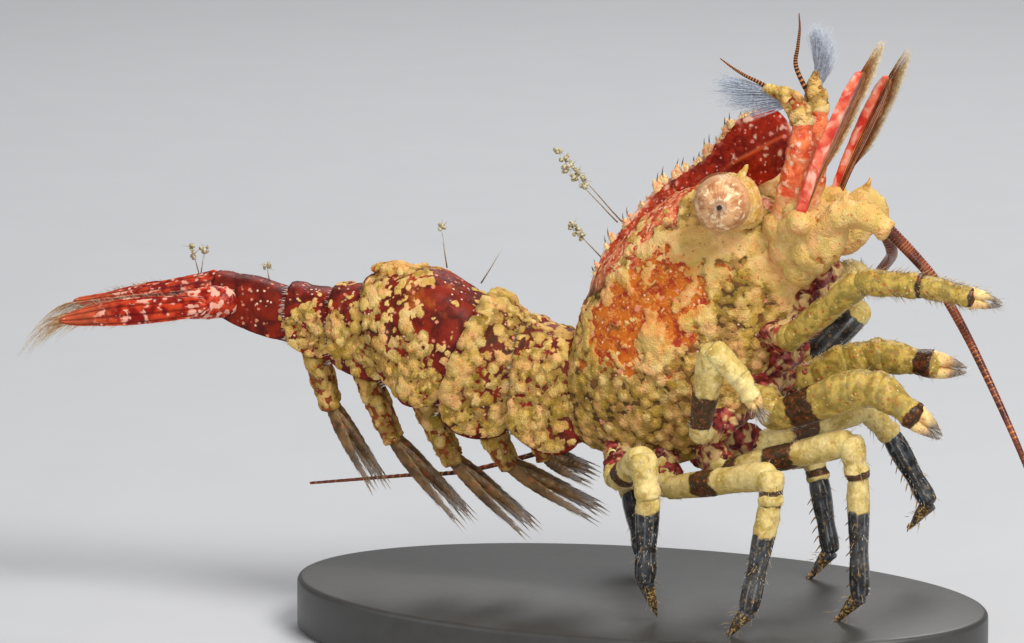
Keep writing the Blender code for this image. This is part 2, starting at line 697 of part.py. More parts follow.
# Head appendages.
ANTENNULE_RADII = [0.33, 0.35, 0.34]
ANTENNULES = {
    RIGHT: {
        "stem": [(4.48, -0.95, 12.6), (4.92, -0.97, 14.26), (4.95, -1.0, 15.5)],
        "thick": [(4.93, -1.0, 15.4), (4.45, -1.05, 16.12), (3.75, -1.05, 16.38)],
        "whip": [(3.95, -1.05, 16.30), (3.3, -1.05, 16.6), (2.92, -1.0, 16.79), (2.55, -0.95, 17.02)],
        "brush_root": (4.45, -1.0, 15.85),
        "brush_aim": math.radians(184),
        "brush_length": 2.1,
    },
    LEFT: {
        "stem": [(4.48, 0.95, 12.6), (4.75, 0.97, 14.3), (4.83, 1.0, 15.50)],
        "thick": [(4.80, 1.0, 15.4), (4.35, 1.05, 16.0), (4.13, 1.05, 16.62)],
        "whip": [(4.16, 1.05, 16.5), (4.2, 1.05, 17.1), (4.25, 1.05, 17.6), (4.24, 1.0, 18.05)],
        "brush_root": (4.85, 1.0, 15.75),
        "brush_aim": math.radians(81),
        "brush_length": 1.85,
    },
}
BRUSH_VANES = 5
BRUSH_FAN = math.radians(9)
BRUSH_PITCH = 0.07


def make_antennules():
    for side, plan in ANTENNULES.items():
        pieces = [limb("stem", plan["stem"], ANTENNULE_RADII)]
        pieces.append(limb("thick", plan["thick"], [0.30, 0.25, 0.18], sides=7))
        pieces.append(cord("whip", plan["whip"], (0.14, 0.05), 9))
        for n in range(BRUSH_VANES):
            aim = plan["brush_aim"] + BRUSH_FAN * (n - (BRUSH_VANES - 1) / 2)
            length = plan["brush_length"] * (1 - 0.06 * abs(n - 2))
            aside = Vector((-math.sin(aim), 0, math.cos(aim))) * BRUSH_PITCH * (n - (BRUSH_VANES - 1) / 2)
            root = Vector(plan["brush_root"]) + aside
            tip = root + Vector((math.cos(aim), 0.02 * n, math.sin(aim))) * length
            pieces.append(spike("vane", root, tip, 0.24, sides=6, blunt=0.25))
        name = "antennule_" + SIDE_NAMES[side]
        finish(cut(fused(pieces), [carapace_cutter()]), name, material(name, PINK))


ANTENNA_BLOCK = ((5.72, 1.42, 12.15), (0.62, 0.50, 1.05), math.radians(24))
PEDUNCLES = {
    RIGHT: [(5.6, -1.5, 12.5), (6.25, -1.55, 12.98), (6.95, -1.6, 13.02), (7.55, -1.62, 12.62)],
    LEFT: [(5.6, 1.5, 12.5), (6.0, 1.6, 12.75), (6.25, 1.70, 12.55), (6.45, 1.78, 12.0)],
}
PEDUNCLE_RADII = [0.42, 0.46, 0.46, 0.38]
FEELERS = {
    RIGHT: [(7.40, -1.60, 12.80), (8.09, -1.45, 12.10), (8.86, -1.42, 11.27), (9.5, -1.50, 10.34),
            (10.3, -1.95, 9.20), (11.48, -2.75, 7.40), (12.31, -3.1, 5.80), (13.10, -3.3, 4.25),
            (13.85, -3.4, 2.95)],
    LEFT: [(6.35, 1.75, 12.15), (6.55, 2.4, 11.3), (6.1, 3.5, 10.6), (4.6, 4.75, 9.1), (1.5, 5.3, 6.6),
           (-2.5, 4.9, 4.9), (-6.0, 3.8, 3.80), (-8.2, 3.25, 3.55), (-10.85, 3.0, 3.2)],
}
FEELER_RADII = (0.27, 0.10)
FEELER_POINTS = {RIGHT: 30, LEFT: 40}
BLOCK_ROOM = ROOM + 0.08       # cut round the block, and round the peduncle, for the scale beside them
PEDUNCLE_ROOM = ROOM + 0.12


def antenna_cutters(side):
    centre, radii, turn = ANTENNA_BLOCK
    block = ball("block_cutter", mirrored(centre, side), [r + BLOCK_ROOM for r in radii], turn)
    peduncle = limb("peduncle_cutter", PEDUNCLES[side], [r + PEDUNCLE_ROOM for r in PEDUNCLE_RADII])
    return [block, peduncle]


def make_antennae():
    for side in (RIGHT, LEFT):
        centre, radii, turn = ANTENNA_BLOCK
        pieces = [ball("block", mirrored(centre, side), radii, turn)]
        pieces.append(limb("peduncle", PEDUNCLES[side], PEDUNCLE_RADII))
        pieces.append(cord("feeler", FEELERS[side], FEELER_RADII, FEELER_POINTS[side]))
        name = "antenna_" + SIDE_NAMES[side]
        finish(cut(fused(pieces), [carapace_cutter()]), name, material(name, CREAM))


# Antennal scales: the middle line of each blade, half widths, and the way across it.
SCALES = {
    RIGHT: (
        [(5.15, -1.75, 12.95), (5.5, -1.72, 13.9), (6.0, -1.6, 15.15), (6.48, -1.5, 16.3),
         (6.75, -1.45, 16.98)],
        Vector((0.5, 1.0, 0)),
    ),
    LEFT: (
        [(5.12, 1.75, 12.75), (5.47, 1.75, 13.6), (5.92, 1.70, 14.6), (6.40, 1.65, 15.65),
         (6.68, 1.6, 16.28)],
        Vector((0.9, -0.7, 0)),
    ),
}
SCALE_WIDTHS = [0.28, 0.42, 0.56, 0.54, 0.30]
SCALE_HALF_THICK = 0.25


def make_scales():
    for side, (path, across) in SCALES.items():
        rings = blade_rings(path, SCALE_WIDTHS, SCALE_HALF_THICK, across)
        name = "antennal_scale_" + SIDE_NAMES[side]
        scale = cut(loft(name, rings), [carapace_cutter(), *antenna_cutters(side)])
        finish(scale, name, material(name, PINK))


def make_stand():
    bpy.ops.mesh.primitive_cylinder_add(
        vertices=64, radius=0.5, depth=1, location=point(0, 0, BASE_HEIGHT / 2)
    )
    base = bpy.context.object
    base.scale = point(BASE_LENGTH, BASE_WIDTH, BASE_HEIGHT)
    bpy.ops.object.transform_apply(location=True, rotation=True, scale=True)
    bevel = base.modifiers.new("edge", "BEVEL")
    bevel.width = BASE_EDGE * MM
    bevel.segments = 2
    bevel.limit_method = "ANGLE"
    finish(base, "stand_base", material("stand_base", STAND, 0.5))


clear_scene()
shrimp = bpy.data.collections.new("shrimp")
bpy.context.scene.collection.children.link(shrimp)
make_carapace()
for eye_side in (RIGHT, LEFT):
    make_eye(eye_side)
make_somites()
make_tail()
make_swimmers()
make_limbs()
make_antennules()
make_antennae()
make_scales()
make_stand()
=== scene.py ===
"""The looks of a still, life-size blunt blade shrimp, standing on a flat display base.

Tables are in millimetres. +X is towards the head, +Y towards the animal's left, +Z up.
"""

import math
import random
from functools import lru_cache

import bmesh
import bpy
import numpy as np
from mathutils import Matrix, Vector, noise


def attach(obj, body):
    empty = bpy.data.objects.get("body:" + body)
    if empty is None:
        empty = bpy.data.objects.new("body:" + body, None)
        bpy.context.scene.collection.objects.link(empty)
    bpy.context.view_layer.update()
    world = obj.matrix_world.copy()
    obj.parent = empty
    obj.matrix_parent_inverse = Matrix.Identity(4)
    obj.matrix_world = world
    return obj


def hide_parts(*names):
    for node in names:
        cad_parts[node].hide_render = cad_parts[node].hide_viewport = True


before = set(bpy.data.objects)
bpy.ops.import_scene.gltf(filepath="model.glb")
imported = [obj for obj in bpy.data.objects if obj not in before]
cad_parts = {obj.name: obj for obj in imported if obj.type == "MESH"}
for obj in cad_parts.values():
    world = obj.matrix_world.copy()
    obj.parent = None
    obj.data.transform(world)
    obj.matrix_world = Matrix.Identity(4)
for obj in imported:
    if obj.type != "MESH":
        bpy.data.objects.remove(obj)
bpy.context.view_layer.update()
MM = 0.001

# The studio: a pale matt floor, a broad softbox above and in front, a fill from the left and a
# rim light behind, and a long lens at the photo's angle. The floor is one flat sheet.

VIEW_TURN = math.radians(18)
VIEW_RISE = math.radians(12)
VIEW_CENTRE = Vector((-3.77, 0, 9.01))
VIEW_DISTANCE = 250
VIEW_WIDTH = 28.67
SENSOR = 36
LIGHT_CENTRE = VIEW_CENTRE + Vector((2, 0, 0))
AIR_STRENGTH = 0.26


class Wire:
    """An output of a shader node. Sums, products and quotients of wires add Math nodes."""

    def __init__(self, finish, socket):
        self.finish = finish
        self.socket = socket

    def maths(self, operation, *values):
        return self.finish.node("ShaderNodeMath", {"operation": operation}, dict(enumerate(values)))

    def __add__(self, other):
        return self.maths("ADD", self, other)

    def __sub__(self, other):
        return self.maths("SUBTRACT", self, other)

    def __rsub__(self, other):
        return self.maths("SUBTRACT", other, self)

    def __mul__(self, other):
        return self.maths("MULTIPLY", self, other)

    def __truediv__(self, other):
        return self.maths("DIVIDE", self, other)

    __radd__ = __add__
    __rmul__ = __mul__


class Finish:
    """A procedural material: its Principled shader and the nodes that feed it."""

    def __init__(self, name, **constants):
        self.material = bpy.data.materials.new(name)
        self.material.use_nodes = True
        self.tree = self.material.node_tree
        self.shader = self.tree.nodes["Principled BSDF"]
        for socket, value in constants.items():
            self.shader.inputs[socket.replace("_", " ")].default_value = value

    def node(self, kind, settings=None, sockets=None, out=0):
        made = self.tree.nodes.new(kind)
        for key, value in (settings or {}).items():
            setattr(made, key, value)
        for key, value in (sockets or {}).items():
            if isinstance(value, Wire):
                self.tree.links.new(value.socket, made.inputs[key])
            else:
                made.inputs[key].default_value = value
        return Wire(self, made.outputs[out])

    def place(self):
        """The point on the piece in millimetres."""
        where = self.node("ShaderNodeTexCoord", out="Object")
        return self.node("ShaderNodeVectorMath", {"operation": "SCALE"}, {0: where, "Scale": 1 / MM})

    def vector(self, operation, *values, out=0):
        """A sum, product or other working of vectors."""
        return self.node("ShaderNodeVectorMath", {"operation": operation}, dict(enumerate(values)), out)

    def cloud(self, size, detail=3.0, place=None, warp=0.0):
        """Soft noise from 0 to 1 with lumps of that size in millimetres."""
        shape = {"Scale": 1 / size, "Detail": detail, "Distortion": warp}
        return self.node("ShaderNodeTexNoise", None, {"Vector": place or self.place(), **shape})

    def cells(self, size, place=None, out="Distance"):
        """How far each point is from the middle of its cell, for cells of that size in millimetres."""
        sockets = {"Vector": place or self.place(), "Scale": 1 / size}
        return self.node("ShaderNodeTexVoronoi", None, sockets, out)

    def draw(self, size, place=None, out="Red"):
        """A random number from 0 to 1 for each cell of that size."""
        colours = self.cells(size, place, "Color")
        return self.node("ShaderNodeSeparateColor", None, {"Color": colours}, out)

    def mark(self, name):
        """A value kept on the corners of the mesh."""
        return self.node("ShaderNodeAttribute", {"attribute_name": name}, out="Fac")

    def wave(self, name, rate):
        """Waves from -1 to 1 along a mark."""
        phase = self.mark(name) * rate
        return phase.maths("SINE", phase)

    def step(self, value, low, high):
        """0 below low, 1 above high, smooth between."""
        limits = {"Value": value, "From Min": low, "From Max": high}
        return self.node("ShaderNodeMapRange", {"interpolation_type": "SMOOTHSTEP"}, limits)

    def patches(self, low, high, size, detail=3.0, warp=0.0):
        """Ragged patches, 1 where a cloud of that size is above high and 0 where it is below low."""
        return self.step(self.cloud(size, detail, warp=warp), low, high)

    def dots(self, low, high, size):
        """Round dots, 1 within low of the middle of each cell and 0 beyond high."""
        return 1 - self.step(self.cells(size), low, high)

    def frayed(self, name, low, high, raggedness, size, detail=3.0):
        """A mark stepped from low to high, with its edge made ragged by a cloud of that size."""
        return self.step(self.mark(name) + (self.cloud(size, detail) - 0.5) * raggedness, low, high)

    def mix(self, share, first, second):
        """A colour between two colours."""
        first, second = (c if isinstance(c, Wire) else (*c, 1) for c in (first, second))
        return self.node("ShaderNodeMix", {"data_type": "RGBA"}, {0: share, 6: first, 7: second}, out=2)

    def painted(self, colour, *coats):
        """A colour with others over it in turn, each given as its share and its colour."""
        for share, over in coats:
            colour = self.mix(share, colour, over)
        return colour

    def feed(self, **wires):
        for socket, wire in wires.items():
            self.tree.links.new(wire.socket, self.shader.inputs[socket.replace("_", " ")])
        return self

    def bump(self, height, depth, strength=1.0):
        """Feeds the shader's normal from a height of that depth in millimetres."""
        sockets = {"Height": height, "Distance": depth * MM, "Strength": strength}
        return self.feed(Normal=self.node("ShaderNodeBump", None, sockets))


paper = Finish("studio_paper", Roughness=0.9)
grain = paper.cloud(3.0, 5.0)
paper.feed(Base_Color=paper.mix(grain, (0.52, 0.53, 0.55), (0.55, 0.56, 0.58)))

sheet = bmesh.new()
bmesh.ops.create_grid(sheet, x_segments=2, y_segments=2, size=1.5)
floor_mesh = bpy.data.meshes.new("studio_floor")
sheet.to_mesh(floor_mesh)
sheet.free()
floor = bpy.data.objects.new("studio_floor", floor_mesh)
floor_mesh.materials.append(paper.material)
bpy.context.scene.collection.objects.link(floor)


def view_direction(turn, rise):
    return Vector((math.sin(turn) * math.cos(rise), -math.cos(turn) * math.cos(rise), math.sin(rise)))


def softbox(name, turn, rise, distance, size, power, colour):
    """A square area light that faces the animal from that turn and rise in degrees."""
    light = bpy.data.lights.new(name, "AREA")
    light.size = size * MM
    light.energy = power
    light.color = colour
    lamp = bpy.data.objects.new(name, light)
    back = view_direction(math.radians(turn), math.radians(rise))
    lamp.location = (LIGHT_CENTRE + back * distance) * MM
    lamp.rotation_euler = back.to_track_quat("Z", "Y").to_euler()
    bpy.context.scene.collection.objects.link(lamp)


softbox("key", 52, 50, 120, 55, 0.150, (1.0, 0.98, 0.95))
softbox("fill", -55, 28, 150, 90, 0.035, (0.93, 0.96, 1.0))
softbox("rim", 190, 42, 130, 60, 0.075, (1.0, 1.0, 1.0))
softbox("front", 18, 8, 170, 50, 0.065, (1.0, 0.99, 0.97))

world = bpy.data.worlds.new("studio_air")
world.use_nodes = True
world.node_tree.nodes["Background"].inputs["Color"].default_value = (0.86, 0.86, 0.87, 1)
world.node_tree.nodes["Background"].inputs["Strength"].default_value = AIR_STRENGTH
bpy.context.scene.world = world
bpy.context.scene.view_settings.view_transform = "Standard"

lens = bpy.data.cameras.new("camera")
lens.sensor_width = SENSOR
lens.lens = SENSOR * VIEW_DISTANCE / VIEW_WIDTH
lens.clip_start = 0.01
camera = bpy.data.objects.new("camera", lens)
eye_line = view_direction(VIEW_TURN, VIEW_RISE)
camera.location = (VIEW_CENTRE + eye_line * VIEW_DISTANCE) * MM
camera.rotation_euler = eye_line.to_track_quat("Z", "Y").to_euler()
bpy.context.scene.collection.objects.link(camera)
bpy.context.scene.camera = camera

# The carapace: one shell over head and thorax, of thin chitin under a crust of granules that stand
# in cauliflower clumps. Orange tissue shows through where the crust is bare. The back carries a
# pinkish-red crest band, and the front margin two pairs of spines.

CARAPACE = [
    (-1.85, 8.95, -1.45, 5.80, 1.38),
    (-1.66, 9.75, -0.10, 5.40, 1.70),
    (-1.20, 10.78, 1.40, 5.42, 1.92),
    (-0.55, 11.70, 2.80, 6.30, 1.95),
    (0.20, 12.48, 3.65, 7.60, 1.78),
    (1.00, 13.10, 4.35, 9.10, 1.50),
    (1.85, 13.35, 4.95, 10.30, 1.22),
    (2.95, 13.12, 5.25, 11.00, 0.98),
    (3.95, 12.95, 5.35, 11.50, 0.80),
]
CARAPACE_SECTION = [
    (0.00, 1.00), (0.22, 0.985), (0.47, 0.93), (0.70, 0.83), (0.88, 0.69), (0.99, 0.52),
    (1.00, 0.35), (0.93, 0.19), (0.78, 0.07), (0.55, 0.00), (0.28, 0.03), (0.00, 0.05),
]
SIDES = {"right": -1, "left": 1}
SEAM = 0.0005
CRUST_DEPTH = 0.09


def mixed(rows, t):
    """A smooth blend through equal rows of numbers at t, counted in rows."""
    last = len(rows) - 1
    k = min(max(int(t), 0), last - 1)
    u = t - k
    a, b, c, d = (rows[min(max(k + n, 0), last)] for n in (-1, 0, 1, 2))
    return [
        0.5 * (2 * q + (r - p) * u + (2 * p - 5 * q + 4 * r - s) * u**2 + (3 * q - p - 3 * r + s) * u**3)
        for p, q, r, s in zip(a, b, c, d)
    ]


def skin(around, along, place):
    """A closed skin warped from a flat grid: place(u, v) is its point, in mm, at u round and v along."""
    bm = bmesh.new()
    bm.loops.layers.uv.new("UVMap")
    bmesh.ops.create_grid(bm, x_segments=around, y_segments=along, size=0.5, calc_uvs=True)
    round_share = bm.verts.layers.float.new("around")
    length_share = bm.verts.layers.float.new("along")
    for vert in bm.verts:
        u, v = vert.co.x + 0.5, vert.co.y + 0.5
        vert[round_share], vert[length_share] = u, v
        vert.co = place(u, v)
    bmesh.ops.remove_doubles(bm, verts=bm.verts, dist=SEAM)
    bmesh.ops.recalc_face_normals(bm, faces=bm.faces)
    return bm


def raised(bm, marks, relief):
    """Lifts each corner along its normal and keeps the named marks that relief(corner, u, v) gives."""
    bm.normal_update()
    kept = bm.verts.layers.float
    round_share, length_share, *layers = (kept.get(m) or kept.new(m) for m in ("around", "along", *marks))
    for vert in bm.verts:
        height, *values = relief(vert.co, vert[round_share], vert[length_share])
        for layer, value in zip(layers, values):
            vert[layer] = value
        vert.co += vert.normal * height
    return bm


def joined(parts):
    """Several skins in one mesh."""
    whole = bmesh.new()
    for part in parts:
        carrier = bpy.data.meshes.new("part")
        part.to_mesh(carrier)
        part.free()
        whole.from_mesh(carrier)
        bpy.data.meshes.remove(carrier)
    return whole


def melded(bm, voxel, rounds):
    """One closed skin round overlapping parts, remade from voxels of that size and softened."""
    carrier = bpy.data.meshes.new("meld")
    bm.to_mesh(carrier)
    bm.free()
    holder = bpy.data.objects.new("meld", carrier)
    bpy.context.scene.collection.objects.link(holder)
    remesh = holder.modifiers.new("remesh", "REMESH")
    remesh.voxel_size = voxel
    soften = holder.modifiers.new("soften", "SMOOTH")
    soften.iterations = rounds
    shown = holder.evaluated_get(bpy.context.evaluated_depsgraph_get())
    whole = bmesh.new()
    whole.from_mesh(shown.to_mesh())
    shown.to_mesh_clear()
    bpy.data.objects.remove(holder)
    bpy.data.meshes.remove(carrier)
    return whole


def piece(name, bm, finish, slot, *nodes):
    """Makes the object, smooth, in metres and riding on the body, in place of the named solids."""
    bmesh.ops.scale(bm, vec=(MM, MM, MM), verts=bm.verts)
    mesh = bpy.data.meshes.new(name)
    bm.to_mesh(mesh)
    bm.free()
    return placed(name, mesh, finish, slot, *nodes)


def placed(name, mesh, finish, slot, *nodes):
    mesh.shade_smooth()
    mesh.materials.append(finish.material)
    made = bpy.data.objects.new(name, mesh)
    bpy.context.scene.collection.objects.link(made)
    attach(made, "root")
    if nodes:
        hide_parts(*nodes)
    return made


def smooth(value, low, high):
    share = min(max((value - low) / (high - low), 0.0), 1.0)
    return share * share * (3 - 2 * share)


def patchy(place, size, octaves=3):
    """Noise from about -0.5 to 0.5 with lumps of that size."""
    return noise.fractal(place / size, 1.0, 2.0, octaves) * 0.7


def clump(place, size):
    """1 on top of a rounded clump of that size, 0 in the creases between clumps."""
    near = noise.voronoi(place / size)[0]
    return max(0.0, 1 - near[0] ** 2 * 1.6) * smooth(near[1] - near[0], 0.0, 0.22)


def wrinkle(place, size):
    """1 along thin winding lines, 0 between them."""
    return max(0.0, 1 - abs(patchy(place, size, 3)) * 11)


def rosettes(place, share, size):
    """Height and tone, from 0 to 1, of round clusters of that size. Share says how many there are."""
    height, tone = 0.0, 0.5
    distances, centres = noise.voronoi(place / size)
    for distance, centre in zip(distances[:3], centres[:3]):
        pick = noise.cell_vector(centre * 91.7)
        dome = 1 - (distance / (0.60 + 0.16 * pick.y)) ** 2 if pick.x < share else 0.0
        if dome > height:
            height, tone = dome, pick.z
    return height**0.75, tone


def crusted(place, share, sheet=0.0):
    """Height, cover, crease and tone of a crust of granular rosettes, thicker where share is higher.

    Sheet is how far they merge into one smoother sheet.
    """
    ragged = place + Vector([patchy(place, size, 2) for size in (0.11, 0.13, 0.12)]) * 0.035
    share += patchy(place, 0.55) * 0.6
    big, tone = rosettes(ragged, share * 1.05, 0.31)
    small, small_tone = rosettes(ragged + Vector((3, 7, 1)), share * 0.8, 0.17)
    if small > big:
        tone = small_tone
    layer = smooth(sheet + patchy(ragged, 0.35) * 0.9, 0.40, 0.60)
    cover = max(smooth(max(big, small * 0.8), 0.12, 0.55), layer)
    packed = smooth(share, 0.25, 0.90)
    fine = clump(place, 0.085)
    lines = wrinkle(place, 0.7) * layer
    lump = (0.036 + 0.020 * packed) * big + 0.018 * small + 0.014 * fine * big
    level = layer * (0.046 + 0.04 * patchy(place, 0.3) + 0.022 * fine + 0.020 * lines + 0.034 * big)
    # The crease mark is where the finishes paint shade: between packed rosettes and between the fine
    # granules.
    crease = cover * packed * (1 - max(big, small * 0.6, layer * 0.9)) * 1.2 + 0.22 * (1 - fine)
    tone += 0.22 * (1 - packed)
    # Over the sheets the tone varies at random, and is also raised along the wrinkle ridges and over the
    # domes under them, a painted highlight on the raised parts.
    tone = tone * (1 - layer) + layer * (0.44 + 0.5 * patchy(place, 0.45) + 0.4 * lines + 0.26 * big)
    return max(lump, level), cover, min(crease, 1), tone


def half_section(section, u):
    """Side and height shares of a mirrored half section at share u round it, right side first."""
    across, height = mixed(section, (1 - abs(2 * u - 1)) * (len(section) - 1))
    return (-across if u < 0.5 else across), height


def shut(v, rows, ends=3):
    """Splits v into a share along the skin and how far it is drawn in, to close both ends flat."""
    cap = ends / rows
    inward = min(v / cap, (1 - v) / cap, 1.0)
    return min(max((v - cap) / (1 - 2 * cap), 0.0), 1.0), inward


CARAPACE_ROWS = 250
CARAPACE_COLUMNS = 380


@lru_cache(maxsize=1)
def carapace_row(v):
    share, inward = shut(v, CARAPACE_ROWS)
    dx, dz, vx, vz, width = mixed(CARAPACE, share * (len(CARAPACE) - 1))
    return Vector((dx, 0, dz)), Vector((vx, 0, vz)), width - CRUST_DEPTH, inward


def carapace_place(u, v):
    dorsal, ventral, width, inward = carapace_row(v)
    across, height = half_section(CARAPACE_SECTION, u)
    rise = dorsal - ventral
    middle = ventral + rise * 0.45
    sunk = rise.length - 2 * CRUST_DEPTH
    spot = ventral + rise.normalized() * (CRUST_DEPTH + sunk * height) + Vector((0, across * width, 0))
    return middle.lerp(spot, inward)


# Areas of the flank, as x, z, reach along x, reach along z and strength: bare tissue, smooth pale
# plates, and olive crust.
WARM_PATCHES = [
    (0.95, 10.50, 1.05, 0.72, 1.3),
    (1.75, 11.25, 0.50, 0.28, 0.8),
    (-0.48, 8.84, 0.85, 0.62, 1.25),
    (0.05, 9.75, 0.75, 0.65, 1.1),
    (1.35, 9.35, 0.55, 0.55, 1.1),
    (1.95, 10.30, 0.50, 0.45, 0.9),
    (3.05, 10.95, 0.50, 0.35, 0.6),
    (1.55, 7.95, 0.40, 0.30, 0.5),
]
PLATE_PATCHES = [
    (0.85, 9.30, 0.42, 0.55, 1.7),
    (1.75, 10.75, 0.16, 0.65, 1.2),
    (-0.10, 10.60, 0.55, 0.24, 1.1),
    (1.20, 8.60, 0.60, 0.25, 1.0),
    (0.30, 11.35, 0.60, 0.28, 0.9),
    (1.20, 11.65, 0.90, 0.30, 1.4),
    (2.58, 11.20, 0.26, 0.75, 1.6),
    (2.25, 9.72, 0.36, 0.45, 1.7),
    (4.20, 11.30, 0.65, 0.60, 1.1),
    (2.70, 11.95, 1.10, 0.30, 1.2),
    (-1.40, 9.10, 0.26, 1.30, 0.9),
    (3.60, 9.90, 0.35, 0.60, 0.7),
    (4.70, 10.70, 0.50, 0.90, 0.9),
]
OLIVE_PATCHES = [
    (3.30, 10.40, 0.65, 0.70, 0.9),
    (2.60, 8.90, 0.80, 1.00, 0.6),
    (0.20, 7.20, 1.70, 0.90, 0.9),
    (-1.20, 7.90, 0.40, 1.00, 0.9),
    (-1.45, 8.00, 0.22, 0.80, 1.0),
]
# The dark, half clear stretch of the back behind the crest band: x, z and reach.
DUSK = (-1.35, 10.0, 0.42, 0.75)


def hill(off, reach):
    """1 at the middle of a soft hill, falling to 0 beyond its reach."""
    return math.exp(-((off / reach) ** 2))


def patch(place, x, z, reach_x, reach_z):
    return math.exp(-(((place.x - x) / reach_x) ** 2 + ((place.z - z) / reach_z) ** 2))


def spread(place, patches):
    return sum(strength * patch(place, *area) for *area, strength in patches)


def flank_relief(place, u, v):
    top = abs(2 * u - 1)
    moved = place + Vector((patchy(place, 0.9), 0, patchy(place + Vector((5, 5, 5)), 0.9))) * 0.7
    warm, plate, olive = (spread(moved, p) for p in (WARM_PATCHES, PLATE_PATCHES, OLIVE_PATCHES))
    crest = smooth(top + 0.16 * patchy(place, 0.6), 0.74, 0.85)
    under = 1 - smooth(top, 0.08, 0.15)
    dusk = patch(moved, *DUSK) * smooth(top, 0.55, 0.72)
    share = 1.20 - 1.22 * min(warm, 1) - 1.05 * crest - 0.8 * under - 0.4 * dusk
    share += 0.9 * smooth(plate, 0.5, 1.0) * (1 - crest)
    height, cover, crease, tone = crusted(place, share, 1.15 * plate - 0.9 * crest - under)
    crest *= 1 - 0.85 * dusk
    olive += dusk
    ridge = 0.12 * patch(moved, 2.50, 10.9, 0.20, 1.0) + 0.10 * patch(moved, 2.2, 9.7, 0.40, 0.35)
    ridge += 0.10 * patch(moved, 0.9, 9.2, 0.5, 0.5) + 0.06 * patchy(place, 0.9)
    flat = smooth(plate, 0.45, 0.95)
    tone += flat * (0.5 + 1.1 * patchy(place, 0.6))
    return height + ridge, cover, crease * (1 - 0.5 * flat), tone, min(warm, 1), min(olive, 1), crest


shell = skin(CARAPACE_COLUMNS, CARAPACE_ROWS, carapace_place)
# The crease mark carries painted shade into the crust finishes.
CRUST_MARKS = ("crust", "crease", "tone", "warm", "olive")
raised(shell, (*CRUST_MARKS, "crest"), flank_relief)

BONE = (0.76, 0.55, 0.21)
CREAM = (0.64, 0.42, 0.125)
OCHRE = (0.44, 0.26, 0.042)
OLIVE = (0.22, 0.15, 0.014)
PEACH = (0.80, 0.40, 0.17)
ORANGE = (0.54, 0.13, 0.010)
UMBER = (0.15, 0.055, 0.010)
BLOOD = (0.075, 0.006, 0.003)
SCARLET = (0.23, 0.015, 0.004)
ROSE = (0.78, 0.30, 0.18)


def star_spots(finish, size, place=None):
    """Ragged pale spots like small stars, 1 on a spot."""
    spot = place or finish.place()
    ragged = finish.cloud(size * 0.16, 2.0, spot)
    ring = finish.cells(size, spot) + (ragged - 0.5) * 0.30
    return (1 - finish.step(ring, 0.16, 0.27)) * finish.step(finish.draw(size, spot), 0.42, 0.50)


